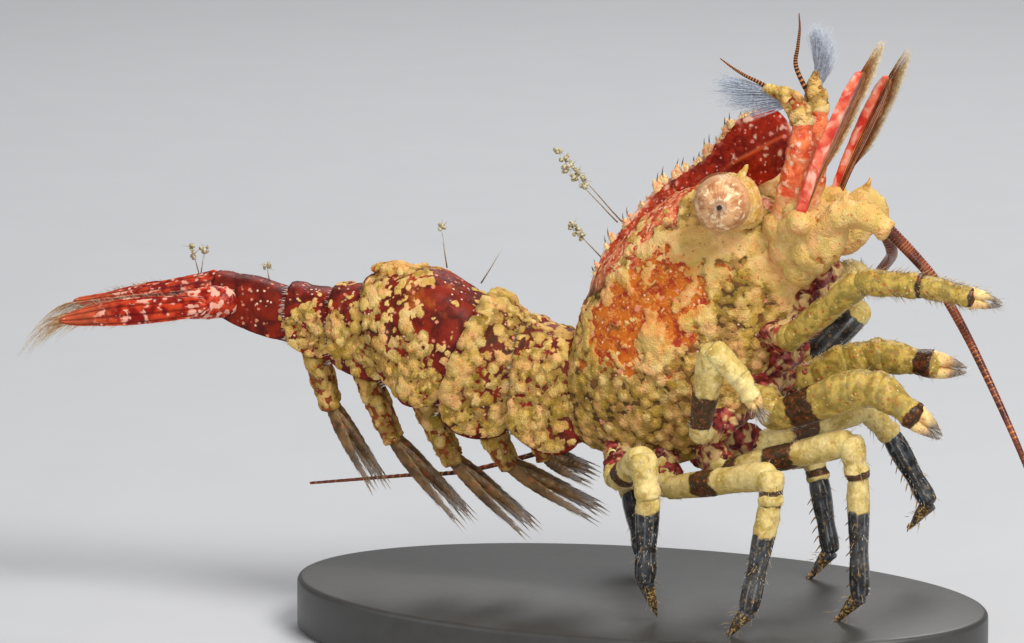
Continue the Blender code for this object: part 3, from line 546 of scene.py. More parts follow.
def crust_finish(name, under_dark, under_light, spot_size, gloss=0.06):
    """Matt granular crust over glossy cuticle of two colours, by the marks on the mesh."""
    made = Finish(
        name, Subsurface_Weight=0.12, Subsurface_Scale=0.0004, Subsurface_Radius=(1.0, 0.45, 0.2),
        Coat_Roughness=0.2, Specular_IOR_Level=0.14,
    )
    fine, grains = made.cloud(0.055, 2.0), made.cells(0.052)
    crease, warm, olive = made.mark("crease"), made.mark("warm"), made.mark("olive")
    cover = made.step(made.mark("crust") + (fine - 0.5) * 0.6, 0.18, 0.86)
    tone = made.mark("tone") + (made.cloud(0.7) - 0.5) * 0.8
    # Painted shade: the crust is darkened where the crease mark is high, in the creases between rosettes
    # and granules.
    crease_shade = made.step(crease + (fine - 0.5) * 0.4, 0.22, 0.80)
    glow = made.step(warm, 0.42, 1.0) * made.patches(0.36, 0.60, 0.33, 4.0, 0.8)
    # Painted highlight: the middles of the granules are lightened, except in the creases.
    bright = (1 - made.step(grains, 0.08, 0.42)) * (1 - crease)
    rust = made.dots(0.20, 0.34, 0.10) * made.step(made.draw(0.10, out="Green"), 0.84, 0.90)
    crust = made.painted(
        (0.34, 0.215, 0.022),
        (made.step(tone, 0.0, 0.32), OCHRE),
        (made.step(tone, 0.22, 0.60), CREAM),
        (made.step(tone, 0.62, 0.95) * 0.9, BONE),
        (made.patches(0.46, 0.62, 0.50, 5.0, 0.6) * 0.75, PEACH),
        (made.step(tone, 0.95, 1.35) * 0.7, (0.82, 0.47, 0.19)),
        (made.patches(0.46, 0.60, 0.8, 5.0, 0.8) * 0.45, (0.56, 0.35, 0.060)),
        (made.patches(0.56, 0.70, 0.21, 4.0, 1.0) * 0.45, (0.62, 0.24, 0.06)),
        (olive * made.patches(0.38, 0.64, 0.28) * 0.6, OLIVE),
        (crease_shade * 0.70, (0.18, 0.105, 0.014)),
        (glow * 0.60, (0.70, 0.22, 0.040)),
        (bright * 0.32, (0.90, 0.74, 0.38)),
        (rust * 0.7, (0.50, 0.08, 0.015)),
    )
    tissue = made.painted(
        ORANGE,
        (made.patches(0.40, 0.62, 0.30, 5.0), (0.34, 0.032, 0.010)),
        (made.patches(0.56, 0.70, 0.42, 4.0) * 0.85, UMBER),
        (made.patches(0.50, 0.70, 0.15, 3.0, 1.5) * 0.65, (0.78, 0.36, 0.10)),
    )
    crest_pink = made.painted(
        (0.42, 0.030, 0.010),
        (made.patches(0.36, 0.66, 0.22, 5.0), (0.80, 0.26, 0.11)),
        (made.patches(0.54, 0.64, 0.13, 4.0) * 0.8, (0.90, 0.56, 0.34)),
    )
    cuticle = made.painted(
        under_dark,
        (made.patches(0.36, 0.66, 0.45, 4.0, 0.8), under_light),
        (olive * 0.8, (0.060, 0.036, 0.009)),
        (made.step(warm, 0.15, 0.6), tissue),
        (made.mark("crest"), crest_pink),
        (star_spots(made, spot_size) * 0.75, ROSE),
        (star_spots(made, 0.15) * made.patches(0.40, 0.56, 0.9) * 0.8, (0.88, 0.62, 0.44)),
    )
    made.feed(
        Base_Color=made.mix(cover, cuticle, crust),
        Roughness=0.56 + cover * 0.20,
        Coat_Weight=(1 - cover) * gloss,
    )
    return made.bump((1 - grains) * (0.25 + cover * 0.75) + fine * 0.4, 0.026, 0.85)


flank = crust_finish("granular_shell", (0.085, 0.036, 0.010), (0.24, 0.095, 0.024), 0.42, 0.03)
piece("carapace_shell", shell, flank, "crust", "carapace")

# The crest and the rostral blade: a thin median plate that rises from the back into a deep blade
# with a blunt end, dark blood red with pale star spots, and stiffened by one rib on each face. It
# grows out of the carapace, and is part of it in the solids.

BLADE_ROWS = [
    (-1.68, 9.35, -1.30, 9.10, 0.16),
    (-1.17, 10.97, -0.70, 10.45, 0.16),
    (-0.42, 12.02, 0.10, 11.45, 0.16),
    (0.55, 13.13, 0.95, 12.35, 0.15),
    (1.60, 13.88, 1.80, 12.60, 0.14),
    (2.20, 14.48, 2.30, 12.72, 0.13),
    (2.72, 15.10, 2.78, 12.90, 0.13),
    (3.30, 15.46, 3.20, 13.22, 0.12),
    (3.80, 15.52, 3.58, 13.42, 0.11),
    (4.14, 15.28, 3.88, 13.58, 0.10),
    (4.33, 14.92, 4.12, 13.84, 0.09),
    (4.39, 14.58, 4.33, 14.22, 0.05),
]
RIB_START, RIB_END = Vector((2.2, 0, 13.65)), Vector((4.2, 0, 14.82))
BLADE_LENGTH_STEPS = 130
BLADE_ROUND_STEPS = 150


@lru_cache(maxsize=1)
def blade_row(v):
    share, inward = shut(v, BLADE_LENGTH_STEPS, 2)
    return *mixed(BLADE_ROWS, share * (len(BLADE_ROWS) - 1)), inward


def blade_place(u, v):
    tx, tz, bx, bz, half, inward = blade_row(v)
    turn = 2 * math.pi * u
    height = 0.5 + 0.5 * math.cos(turn)
    y = -math.sin(turn) * half * (0.45 + 0.55 * abs(math.sin(turn))) * inward
    return Vector((bx + (tx - bx) * height, y, bz + (tz - bz) * height))


def blade_relief(place, u, v):
    flat = Vector((place.x, 0, place.z))
    rib = RIB_END - RIB_START
    share = min(max((flat - RIB_START).dot(rib) / rib.length_squared, 0), 1)
    off = (flat - RIB_START - rib * share).length
    ridge = hill(off, 0.060 - 0.02 * share) * smooth(share, 0.0, 0.45) * (1 - smooth(share, 0.93, 1))
    edge = smooth(abs(2 * u - 1), 0.72, 0.95)
    crest = edge * (1 - smooth(place.x, 0.4, 2.4))
    height, cover, crease, tone = crusted(place, 0.75 * crest - 0.1)
    rear = 1 - smooth(place.x + 0.9 * patchy(place, 0.5), -0.2, 1.9)
    return 0.05 * ridge + height * 0.7 + 0.012 * patchy(place, 0.4), ridge, edge, cover, rear


blade = skin(BLADE_ROUND_STEPS, BLADE_LENGTH_STEPS, blade_place)
raised(blade, ("rib", "edge", "crust", "rear"), blade_relief)

glaze = Finish(
    "blood_red_blade", Subsurface_Weight=0.15, Subsurface_Scale=0.0005, Subsurface_Radius=(1.0, 0.2, 0.1),
    Coat_Roughness=0.10, Specular_IOR_Level=0.12,
)
blade_crust = glaze.mark("crust")
hind_pink = glaze.mix(glaze.patches(0.50, 0.64, 0.13, 4.0), (0.56, 0.070, 0.022), (0.86, 0.42, 0.24))
wine = glaze.painted(
    (0.14, 0.006, 0.003),
    (glaze.patches(0.38, 0.68, 0.22, 4.0, 1.2), (0.36, 0.022, 0.006)),
    (glaze.patches(0.45, 0.70, 1.3, 2.0) * 0.6, (0.42, 0.030, 0.010)),
    (glaze.mark("rib") * 0.75, (0.72, 0.12, 0.03)),
    (glaze.mark("rear") * glaze.patches(0.30, 0.55, 0.25, 4.0) * 0.85, hind_pink),
    (star_spots(glaze, 0.30) * 0.8, (0.74, 0.26, 0.20)),
    (star_spots(glaze, 0.14) * glaze.patches(0.38, 0.56, 0.7) * 0.75, (0.78, 0.36, 0.28)),
    (glaze.mark("edge") * glaze.patches(0.46, 0.60, 0.30) * 0.8, (0.80, 0.36, 0.27)),
    (blade_crust * 0.9, (0.82, 0.52, 0.36)),
)
glaze.feed(Base_Color=wine, Roughness=0.30 + blade_crust * 0.35, Coat_Weight=0.12 - 0.12 * blade_crust)
glaze.bump(glaze.cloud(0.05, 3.0) + (1 - glaze.cells(0.09)) * 0.5, 0.010, 0.6)
piece("rostral_blade", blade, glaze, "red_shell")

# The crest's teeth: fleshy pale lobes in clusters along the top edge, each with one or two curved
# glassy spines that end in a black tip, and a fringe of short white hairs.

CREST_TOP = [row[:2] for row in BLADE_ROWS[:9]]


def strand_mesh(name, strands, sides=3, steps=4):
    """Many tapered, bent hairs as one mesh. Each is (root, aim, length, radius, curl, u, v)."""
    root, aim, curl = (np.array([s[k] for s in strands], float) for k in (0, 1, 4))
    length, radius, at_u, at_v = (np.array([s[k] for s in strands], float)[:, None] for k in (2, 3, 5, 6))
    aim /= np.linalg.norm(aim, axis=1)[:, None]
    other = np.where(np.abs(aim[:, 2:3]) > 0.8, [[1.0, 0, 0]], [[0, 0, 1.0]])
    first = np.cross(aim, other)
    first /= np.linalg.norm(first, axis=1)[:, None]
    second = np.cross(aim, first)
    rings, shares, patches = [], [], []
    for step in range(steps + 1):
        share = step / steps
        wave = np.where(length > 1, 0.03, 0.0) * length * np.sin(9 * share + 40 * root[:, 2:3])
        centre = root + aim * length * share + curl * length * share**2 + first * wave * share
        thin = radius * (1 - share) ** 0.7 + 0.0008
        for side in range(sides):
            angle = 2 * math.pi * side / sides
            rings.append(centre + (first * math.cos(angle) + second * math.sin(angle)) * thin)
            shares.append(np.full(len(strands), share))
            patches.append(np.hstack([at_u + 0.003 * side / sides, at_v + 0.003 * share]))
    count = sides * (steps + 1)
    corners = np.stack(rings, 1).reshape(-1, 3) * MM
    flats = np.stack(patches, 1).reshape(-1, 2)
    quads = []
    for step in range(steps):
        for side in range(sides):
            near, far = step * sides + side, step * sides + (side + 1) % sides
            quads.append((near, far, far + sides, near + sides))
    shift = (np.arange(len(strands)) * count)[:, None, None]
    walls = (np.array(quads)[None] + shift).reshape(-1, 4)
    ends = [list(range(sides))[::-1], [count - sides + k for k in range(sides)]]
    caps = (np.array(ends)[None] + shift).reshape(-1, sides)
    mesh = bpy.data.meshes.new(name)
    mesh.from_pydata(corners.tolist(), [], walls.tolist() + caps.tolist())
    layer = mesh.uv_layers.new(name="OFBake")
    corner_of = np.empty(len(mesh.loops), np.int32)
    mesh.loops.foreach_get("vertex_index", corner_of)
    layer.data.foreach_set("uv", flats[corner_of].astype(np.float32).ravel())
    tip = mesh.attributes.new("tip", "FLOAT", "POINT")
    tip.data.foreach_set("value", np.stack(shares, 1).ravel().astype(np.float32))
    return mesh


def hair_finish(name, root_colour, tip_colour, clear=0.0):
    """Thin glossy hairs that pale towards their tips."""
    made = Finish(name, Roughness=0.35, Specular_IOR_Level=0.3)
    share = made.frayed("tip", 0.15, 0.85, 0.5, 0.12, 2.0)
    shade = [level * 0.45 for level in root_colour]
    made.feed(Base_Color=made.painted(
        root_colour, (share, tip_colour), (made.patches(0.40, 0.62, 0.07, 2.0) * 0.5, shade),
    ))
    if clear:
        made.feed(Alpha=1 - share * clear)
    return made


def round_spot(u, centre, across, through, radius, flat=1.0):
    """The point at share u round a circle, which flat makes an oval."""
    turn = 2 * math.pi * u
    return centre + (across * math.cos(turn) + through * math.sin(turn) * flat) * radius


def horn(root, aim, length, radius, curl, sides=9, rows=14):
    """A curved, tapering spine or lobe with a rounded tip, as a skin."""
    root, aim = Vector(root), Vector(aim).normalized()
    bend = Vector(curl)
    across = aim.orthogonal().normalized()
    through = aim.cross(across)

    def place(u, v):
        centre = root + aim * length * v + bend * length * v * v
        return round_spot(u, centre, across, through, radius * (1 - v) ** 0.65 * min(v * rows, 1))

    return skin(sides, rows, place)


# Clusters as share along the top edge and size.
CREST_CLUSTERS = (
    (0.10, 0.7), (0.173, 1.15), (0.255, 1.1), (0.315, 0.6), (0.380, 1.35), (0.4425, 1.3),
    (0.505, 0.7), (0.571, 1.3), (0.640, 0.6), (0.712, 1.2), (0.80, 0.6), (0.88, 0.5),
)
LOBES_EACH = 5
LOBE_LENGTHS = (0.13, 0.27)
LOBE_RADII = (0.07, 0.12)
SPINE_LENGTHS = (0.26, 0.34)
SPINE_RADIUS = 0.050
TWIN_SPINE_SIZE = 0.65
DOWN_EACH = 16
DOWN_LENGTHS = (0.10, 0.22)
DOWN_RADIUS = 0.005
STRAIGHT = (0, 0, 0)
chance = random.Random(11)
lobes, spinules, crest_hairs = [], [], []


def lobe_relief(place, u, v):
    grain = clump(place, 0.07)
    return 0.02 * grain, 1 - grain


for share, size in CREST_CLUSTERS:
    x, z = mixed(CREST_TOP, share * (len(CREST_TOP) - 1))
    ahead = Vector(mixed(CREST_TOP, min(share + 0.02, 1) * (len(CREST_TOP) - 1))) - Vector((x, z))
    ahead = Vector((ahead.x, 0, ahead.y)).normalized()
    out = Vector((-ahead.z, 0, ahead.x))
    for k in range(LOBES_EACH):
        place = Vector((x, chance.uniform(-0.08, 0.08), z)) + ahead * chance.uniform(-0.20, 0.20)
        place -= out * 0.06
        lean = out + ahead * chance.uniform(-0.4, 0.6) + Vector((0, chance.uniform(-0.4, 0.4), 0))
        length, radius = chance.uniform(*LOBE_LENGTHS) * size, chance.uniform(*LOBE_RADII) * size
        lobe = horn(place, lean, length, radius, ahead * 0.2, 16, 18)
        lobes.append(raised(lobe, ("crease",), lobe_relief))
    for k in range(2 if size > TWIN_SPINE_SIZE else 1):
        place = Vector((x, chance.uniform(-0.05, 0.05), z)) + ahead * (k * 0.20 - 0.10) - out * 0.04
        length = chance.uniform(*SPINE_LENGTHS) * size
        spinules.append(horn(place, out - ahead * 0.1, length, SPINE_RADIUS, ahead * 0.75, 12, 20))
    for k in range(DOWN_EACH):
        place = Vector((x, chance.uniform(-0.09, 0.09), z)) + ahead * chance.uniform(-0.25, 0.25)
        aim = out + ahead * chance.uniform(-0.5, 0.7) + Vector((0, chance.uniform(-0.5, 0.5), 0))
        length = chance.uniform(*DOWN_LENGTHS)
        crest_hairs.append((place, aim, length, DOWN_RADIUS, STRAIGHT, 0.5, share))

pale = Finish("crest_lobes", Roughness=0.55, Subsurface_Weight=0.2, Subsurface_Scale=0.0003)
pale.feed(Base_Color=pale.painted(
    (0.88, 0.62, 0.26),
    (pale.patches(0.40, 0.62, 0.2), (0.80, 0.32, 0.15)),
    # Painted shade in the creases between the lobes' granules.
    (pale.step(pale.mark("crease"), 0.4, 1.0) * 0.5, (0.50, 0.28, 0.12)),
))
pale.bump(1 - pale.cells(0.05), 0.01, 0.6)
piece("crest_lobes", joined(lobes), pale, "crust")

thorn = Finish("black_tipped_spines", Roughness=0.18, Coat_Weight=0.6)
blackness = thorn.frayed("along", 0.40, 0.62, 0.15, 0.1)
thorn.feed(Base_Color=thorn.mix(blackness, (0.72, 0.60, 0.46), (0.012, 0.010, 0.010)))
piece("crest_spines", joined(spinules), thorn, "crust")

down = hair_finish("pale_down", (0.80, 0.70, 0.55), (0.92, 0.90, 0.86))
placed("crest_hairs", strand_mesh("crest_hairs", crest_hairs), down, "crust")

# The eyes: a clear domed cornea over a brownish-pink globe with cream flecks and streaks that run
# out from a dark point. Each sits in a yellow cup on a short stalk, with a pale papilla on top.

EYE_CENTRE = Vector((2.95, 1.95, 13.17))
EYE_AXIS = Vector((0.17, 0.98, 0.03)).normalized()
CORNEA_RADIUS = 0.86
GLOBE_RADIUS = 0.79
CUP_CENTRE = Vector((3.08, 1.45, 13.10))
CUP_RADIUS = 0.80
STALK_ROOT = Vector((3.45, 0.70, 12.60))
STALK_RADII = (0.40, 0.46, 0.62)
PAPILLA_ROOT = Vector((3.34, 1.72, 13.72))
PAPILLA_LENGTH = 0.58
PAPILLA_RADIUS = 0.15
FINE_VOXEL = 0.032


def on_side(place, side):
    return Vector((place.x, side * place.y, place.z))


def globe(centre, axis, radius, around=96, along=64, depth=1.0):
    """A ball whose poles lie on the axis, flattened along it by depth."""
    bm = bmesh.new()
    bmesh.ops.create_uvsphere(bm, u_segments=around, v_segments=along, radius=radius)
    bmesh.ops.scale(bm, vec=(1, 1, depth), verts=bm.verts)
    turn = Vector((0, 0, 1)).rotation_difference(axis).to_matrix().to_4x4()
    bmesh.ops.transform(bm, matrix=Matrix.Translation(centre) @ turn, verts=bm.verts)
    return bm


def eye_finish(name, centre, axis):
    made = Finish(name, Roughness=0.45, Specular_IOR_Level=0.2)
    from_centre = made.vector("SUBTRACT", made.place(), centre)
    facing = made.vector("DOT_PRODUCT", from_centre, axis, out="Value") / GLOBE_RADIUS
    spoke = made.vector("NORMALIZE", made.vector("CROSS_PRODUCT", from_centre, axis))
    streak = made.cloud(0.09, 4.0, spoke) - 0.5
    fluff = made.step(made.cloud(0.17, 5.0, warp=0.7) + streak * 0.25, 0.47, 0.64)
    fluff = fluff * made.patches(0.36, 0.56, 0.5, 2.0)
    dots = made.step(made.cells(0.055), 0.22, 0.50) * (1 - made.step(facing, 0.15, 0.60))
    colour = made.painted(
        (0.42, 0.165, 0.065),
        (made.step(made.cloud(0.34, 5.0) + streak * 0.3, 0.36, 0.62), (0.74, 0.42, 0.20)),
        (fluff * made.step(facing, 0.15, 0.5) * 0.85, (0.98, 0.84, 0.54)),
        ((1 - made.step(facing, 0.05, 0.60)) * 0.8, (0.82, 0.54, 0.28)),
        (dots * 0.7, (0.46, 0.22, 0.10)),
        (made.step(facing, 0.93, 0.99) * 0.6, (0.20, 0.10, 0.08)),
        (made.step(facing + made.cells(0.06) * 0.002, 0.9945, 0.9975), (0.010, 0.010, 0.016)),
    )
    made.feed(Base_Color=colour)
    return made.bump(1 - made.cells(0.045), 0.006, 0.5)


cornea = Finish("clear_cornea", Base_Color=(0.78, 0.52, 0.30, 1), Roughness=0.03, Coat_Weight=1.0)
cornea_edge = cornea.node("ShaderNodeLayerWeight", None, {"Blend": 0.12}, out="Fresnel")
clearness = cornea.node(
    "ShaderNodeMixShader", None,
    {0: 0.015 + cornea_edge * 0.34 + cornea.cloud(0.4) * 0.015, 1: cornea.node("ShaderNodeBsdfTransparent"),
     2: Wire(cornea, cornea.shader.outputs[0])},
)
cornea.tree.links.new(clearness.socket, cornea.tree.nodes["Material Output"].inputs["Surface"])

cup_finish = Finish(
    "yellow_eye_cup", Roughness=0.42, Specular_IOR_Level=0.25, Subsurface_Weight=0.2,
    Subsurface_Scale=0.0004,
)
cup_finish.feed(Base_Color=cup_finish.painted(
    (0.58, 0.35, 0.08),
    (cup_finish.patches(0.35, 0.65, 0.35, 4.0), (0.78, 0.54, 0.22)),
    (cup_finish.patches(0.54, 0.68, 0.22, 4.0) * 0.6, (0.90, 0.70, 0.40)),
    (cup_finish.patches(0.60, 0.70, 0.09, 2.0) * 0.6, (0.45, 0.18, 0.06)),
))
cup_finish.bump(1 - cup_finish.cells(0.07), 0.012, 0.6)


def on_path(path, t):
    """The point of a smooth path at t, counted in its points."""
    return Vector(mixed([tuple(p) for p in path], t))


def graded(values, share):
    """A smooth blend through equally spaced numbers, at that share along them."""
    return mixed([(value,) for value in values], share * (len(values) - 1))[0]


def tube(path, radii, columns=24, rows=40, flat=1.0, reference=Vector((0, 1, 0)), ends=0.6):
    """A skin on a smooth path, rounded over at both ends. Flat is its depth against its width."""
    last = len(path) - 1

    def row(v):
        centre = on_path(path, v * last)
        before = on_path(path, max(v * last - 0.02, 0))
        ahead = (on_path(path, min(v * last + 0.02, last)) - before).normalized()
        across = (reference - ahead * reference.dot(ahead)).normalized()
        near = min(v, 1 - v) * rows / max(ends * 6, 0.01)
        thick = graded(radii, v)
        return centre, across, ahead.cross(across), thick * min(1, near) ** 0.5 if near < 1 else thick

    row = lru_cache(maxsize=1)(row)

    def place(u, v):
        return round_spot(u, *row(v), flat)

    return skin(columns, rows, place)


for word, side in SIDES.items():
    centre, axis = on_side(EYE_CENTRE, side), on_side(EYE_AXIS, side)
    eye = globe(centre, axis, GLOBE_RADIUS)
    piece("eye_globe_" + word, eye, eye_finish("eye_globe_" + word, centre, axis), "cornea", "eye_" + word)
    piece("eye_cornea_" + word, globe(centre, axis, CORNEA_RADIUS), cornea, "cornea")
    cup = globe(on_side(CUP_CENTRE, side), axis, CUP_RADIUS, 72, 48)
    stalk = tube([on_side(STALK_ROOT, side), on_side(CUP_CENTRE, side)], STALK_RADII, 32, 24, ends=0.1)
    root = on_side(PAPILLA_ROOT, side)
    papilla = horn(root, (0.35, 0.0, 1), PAPILLA_LENGTH, PAPILLA_RADIUS, (0.12, 0, 0), 16, 20)
    holder = melded(joined([cup, stalk, papilla]), FINE_VOXEL, 6)
    raised(holder, (), lambda p, u, v: (
        0.020 * clump(p, 0.12) + 0.05 * patchy(p, 0.4) + 0.012 * wrinkle(p, 0.6),))
    piece("eye_cup_" + word, holder, cup_finish, "cornea")

# The abdomen: six somites, each a thin shell whose rear rim slides over the front of the next. The
# side plates hang as rounded lobes, the second over both its neighbours. Ragged sheets of granular
# crust lie over glossy dark red cuticle, which shows along the back with pale stars.

ABDOMEN = [
    (-1.85, 8.95, -1.45, 6.15, 1.38),
    (-3.00, 9.12, -3.35, 6.30, 1.50),
    (-3.95, 9.60, -5.45, 6.75, 1.55),
    (-5.95, 10.48, -6.45, 7.15, 1.50),
    (-7.70, 10.12, -7.25, 7.35, 1.25),
    (-8.70, 9.80, -8.85, 7.75, 1.02),
    (-10.10, 9.72, -10.20, 8.12, 0.78),
    (-11.40, 9.88, -11.30, 8.38, 0.68),
    (-12.50, 9.92, -12.35, 8.70, 0.56),
]
# Where the third somite is orange: x, z, reach along x, reach along z, strength.
ABDOMEN_WARM = [(-6.15, 9.95, 0.75, 0.65, 0.42), (-4.75, 8.10, 0.30, 0.60, 0.35)]
# For each somite: first and last station, how far its plate hangs, and how far its rim reaches back.
SOMITES = [
    (0, 1, 0.60, 0.20), (1, 2, 0.62, 0.20), (2, 4, 0.42, 0.10), (4, 5, 0.22, 0.14), (5, 6, 0.12, 0.10),
    (6, 8, 0.05, 0.03),
]
TUCK = 0.17
HOLLOW = (1, 2, 3)
PLATE_WALL = 0.30
BELLY_RISE = 0.5
SOMITE_COLUMNS = 230
SOMITE_CRUST = 0.05
RIDGE_CRUST = {1: 0.2, 2: 1.0, 3: 0.5, 4: 0.3}
# Crust on the somites: x, z, reach along x, reach along z, strength.
ABDOMEN_PATCHES = [
    (-9.30, 8.55, 1.00, 0.62, 1.6),
    (-7.96, 7.85, 0.50, 0.45, 1.3),
    (-7.93, 9.00, 0.45, 0.60, 1.0),
    (-6.38, 8.40, 0.50, 1.30, 1.5),
    (-6.20, 7.20, 0.80, 0.50, 1.2),
    (-6.76, 10.45, 0.70, 0.28, 1.3),
    (-4.55, 10.06, 0.35, 0.30, 1.1),
    (-3.70, 9.30, 0.65, 0.60, 1.7),
    (-4.40, 8.20, 0.40, 0.80, 1.2),
    (-4.60, 7.10, 0.95, 0.95, 1.7),
    (-2.96, 6.30, 0.90, 0.75, 1.5),
    (-2.60, 8.00, 0.70, 0.90, 1.0),
    (-2.10, 7.10, 0.70, 1.20, 0.9),
    (-2.00, 9.00, 0.45, 0.30, 0.6),
    (-7.40, 9.90, 0.40, 0.25, 0.75),
]
# Where the cuticle is browner and more olive, in the same order.
ABDOMEN_OLIVE = [
    (-3.6, 8.9, 0.8, 0.9, 0.7),
    (-4.3, 6.6, 0.8, 0.5, 0.8),
    (-7.4, 8.3, 0.7, 0.6, 0.7),
    (-2.2, 7.0, 0.5, 1.0, 0.7),
]
# How much crust each somite has on its bare back.
BACK_CRUST = {1: 0.1, 2: 0.2, 3: 0.0, 4: 0.0, 5: -0.1, 6: -0.6}


def somite_row(number, v, rows):
    """The section of a somite at share v: its belly, its upward line, half width and corners."""
    first, last, lobe, reach = SOMITES[number - 1]
    share, inward = shut(v, rows)
    start = -0.10 if number > 1 else 0.02
    t = first + (last - first) * (start + (1 + reach - start) * share)
    dx, dz, vx, vz, width = mixed(ABDOMEN, min(t, len(ABDOMEN) - 1))
    hollow = number in HOLLOW
    low = first + (last - first) * (0.02 + 0.96 * share)
    vx, vz = mixed(ABDOMEN, low)[2:4]
    dorsal, ventral = Vector((dx, 0, dz)), Vector((vx, 0, vz))
    dorsal = dorsal.lerp(ventral, TUCK * 0.8 * (1 - share) ** 2.5 * (1 if number > 1 else 0.4))
    bulge = 1.04 - TUCK * (1 - share) ** 2.0
    hang = lobe * math.sin(math.pi * min(max(share, 0.04), 0.96)) ** 0.6
    inner = 0.93 - PLATE_WALL / width if hollow else 0.5
    belly = BELLY_RISE / (dorsal - ventral).length if hollow else -0.02
    drop = 0.9 * hang if hollow else hang * 0.5
    section = [
        (0.00, 1.00, 0), (0.30, 0.985, 0), (0.58, 0.93, 0), (0.80, 0.82, 0), (0.95, 0.66, 0),
        (1.00, 0.48, 0), (1.00, 0.28, 0), (0.98, 0.10, 0.35 * hang), (0.93, 0.00, hang),
        (inner, 0.03, drop), (inner - 0.06, belly, 0), (0.00, belly + 0.03, 0),
    ]
    return dorsal, ventral, width * bulge - SOMITE_CRUST, section, inward


def somite_place(row, u, v):
    dorsal, ventral, width, section, inward = row(v)
    across, height, drop = mixed(section, (1 - abs(2 * u - 1)) * (len(section) - 1))
    rise = dorsal - ventral
    up = rise.normalized()
    side = -across if u < 0.5 else across
    lift = rise.length * height - SOMITE_CRUST * height - drop
    spot = ventral + up * lift + Vector((0, side * width, 0))
    middle = ventral.lerp(dorsal, 0.55)
    return middle.lerp(spot, 0.25 + 0.75 * inward) if inward < 1 else spot


def somite_relief(number):
    ridge_crust = RIDGE_CRUST.get(number, 0)

    def relief(place, u, v):
        top = abs(2 * u - 1)
        wander = Vector((patchy(place, 0.6), 0, patchy(place + Vector((5, 5, 5)), 0.6))) * 0.9
        moved = place + wander
        cover = spread(moved, ABDOMEN_PATCHES)
        olive = spread(moved, ABDOMEN_OLIVE)
        hidden = 1 - smooth(v, 0.02, 0.10)
        rim = smooth(v, 0.955, 0.975)
        under = 1 - smooth(top, 0.26, 0.30)
        ridge = smooth(v, 0.70, 0.82) * smooth(top, 0.30, 0.42)
        low = 1 - smooth(top, 0.50, 0.66)
        share = 0.95 * cover - 0.16 + 0.16 * low * (number < 6)
        share = share + BACK_CRUST[number] * 0.4 - hidden - 1.5 * under
        share -= rim * (0.1 if number < 4 else 1.2)
        share += ridge_crust * ridge
        sheet = cover * 0.50 - 0.36 + 0.45 * ridge_crust * ridge
        height, crust, crease, tone = crusted(place, share, sheet)
        swell = (0.05 + 0.08 * ridge_crust) * ridge + 0.04 * patchy(place, 0.8)
        warm = min(spread(moved, ABDOMEN_WARM), 1)
        return height + swell, crust, crease, tone, warm, min(olive, 1)

    return relief


SOMITE_ROWS = {1: 80, 2: 80, 3: 150, 4: 80, 5: 80, 6: 110}
RIM_HAIRS_EACH = 90
RIM_HAIR_LENGTHS = (0.10, 0.26)
RIM_HAIR_RADIUS = 0.006
CAP_PATH = [(-6.3, 0, 9.92), (-7.0, 0, 10.16), (-7.5, 0, 10.24), (-7.86, 0, 10.25)]
CAP_RADII = (0.5, 0.46, 0.34, 0.10)
rim_hairs = []
dice = random.Random(7)
plates = crust_finish("crusted_red_plates", BLOOD, SCARLET, 0.24, 0.04)
for number, rows in SOMITE_ROWS.items():
    row = lru_cache(maxsize=1)(lambda v, n=number, r=rows: somite_row(n, v, r))
    somite = skin(SOMITE_COLUMNS, rows, lambda u, v, kept=row: somite_place(kept, u, v))
    raised(somite, CRUST_MARKS, somite_relief(number))
    for n in range(RIM_HAIRS_EACH if number < 6 else 0):
        turn = dice.choice((-1, 1)) * dice.uniform(0.16, 0.95)
        edge = somite_place(row, 0.5 + turn * 0.5, 0.955)
        aim = Vector((-0.9, turn * 0.3, -0.5 * (abs(turn) < 0.5))) + Vector((0, 0, dice.uniform(-0.3, 0.3)))
        length = dice.uniform(*RIM_HAIR_LENGTHS)
        rim_hairs.append((edge, aim, length, RIM_HAIR_RADIUS, STRAIGHT, 0.5 + turn * 0.4, number / 7))
    piece(f"somite_{number}", somite, plates, "red_shell" if number == 6 else "crust", f"abdomen_{number}")
placed("rim_hairs", strand_mesh("rim_hairs", rim_hairs), down, "crust")

cap = tube(CAP_PATH, CAP_RADII, 48, 60, flat=0.55)
raised(cap, CRUST_MARKS[:4], lambda p, u, v: (*crusted(p, 1.0, 0.5), 0.8))
piece("third_somite_cap", cap, plates, "crust")

# Under the shells: the soft body of the abdomen and thorax, glossy dark red skin that shows only
# between the plates and from below.

# The body's axis as x, z and radius.
BODY_LINE = [
    (4.6, 11.9, 0.75), (3.4, 10.2, 0.95), (2.0, 8.0, 1.1), (0.4, 7.2, 1.2), (-1.4, 7.6, 1.15),
    (-3.4, 7.95, 1.15), (-5.4, 8.6, 1.2), (-7.2, 8.85, 1.05), (-8.8, 8.8, 0.82), (-10.3, 8.95, 0.66),
    (-11.6, 9.15, 0.52), (-12.9, 9.25, 0.34),
]
body = tube([(x, 0, z) for x, z, r in BODY_LINE], [r for x, z, r in BODY_LINE], 48, 220, flat=0.82)
muscle = Finish(
    "soft_red_skin", Roughness=0.34, Specular_IOR_Level=0.2, Subsurface_Weight=0.2, Subsurface_Scale=0.0005,
)
muscle.feed(Base_Color=muscle.painted(
    (0.16, 0.010, 0.010),
    (muscle.patches(0.35, 0.65, 0.5, 4.0), (0.46, 0.16, 0.10)),
    (star_spots(muscle, 0.4) * 0.5, (0.72, 0.45, 0.30)),
))
muscle.bump(muscle.cloud(0.12, 3.0), 0.03, 0.6)
raised(body, (), lambda p, u, v: (0.05 * math.sin(p.x * 9) * 0.4 + 0.05 * patchy(p, 0.3),))
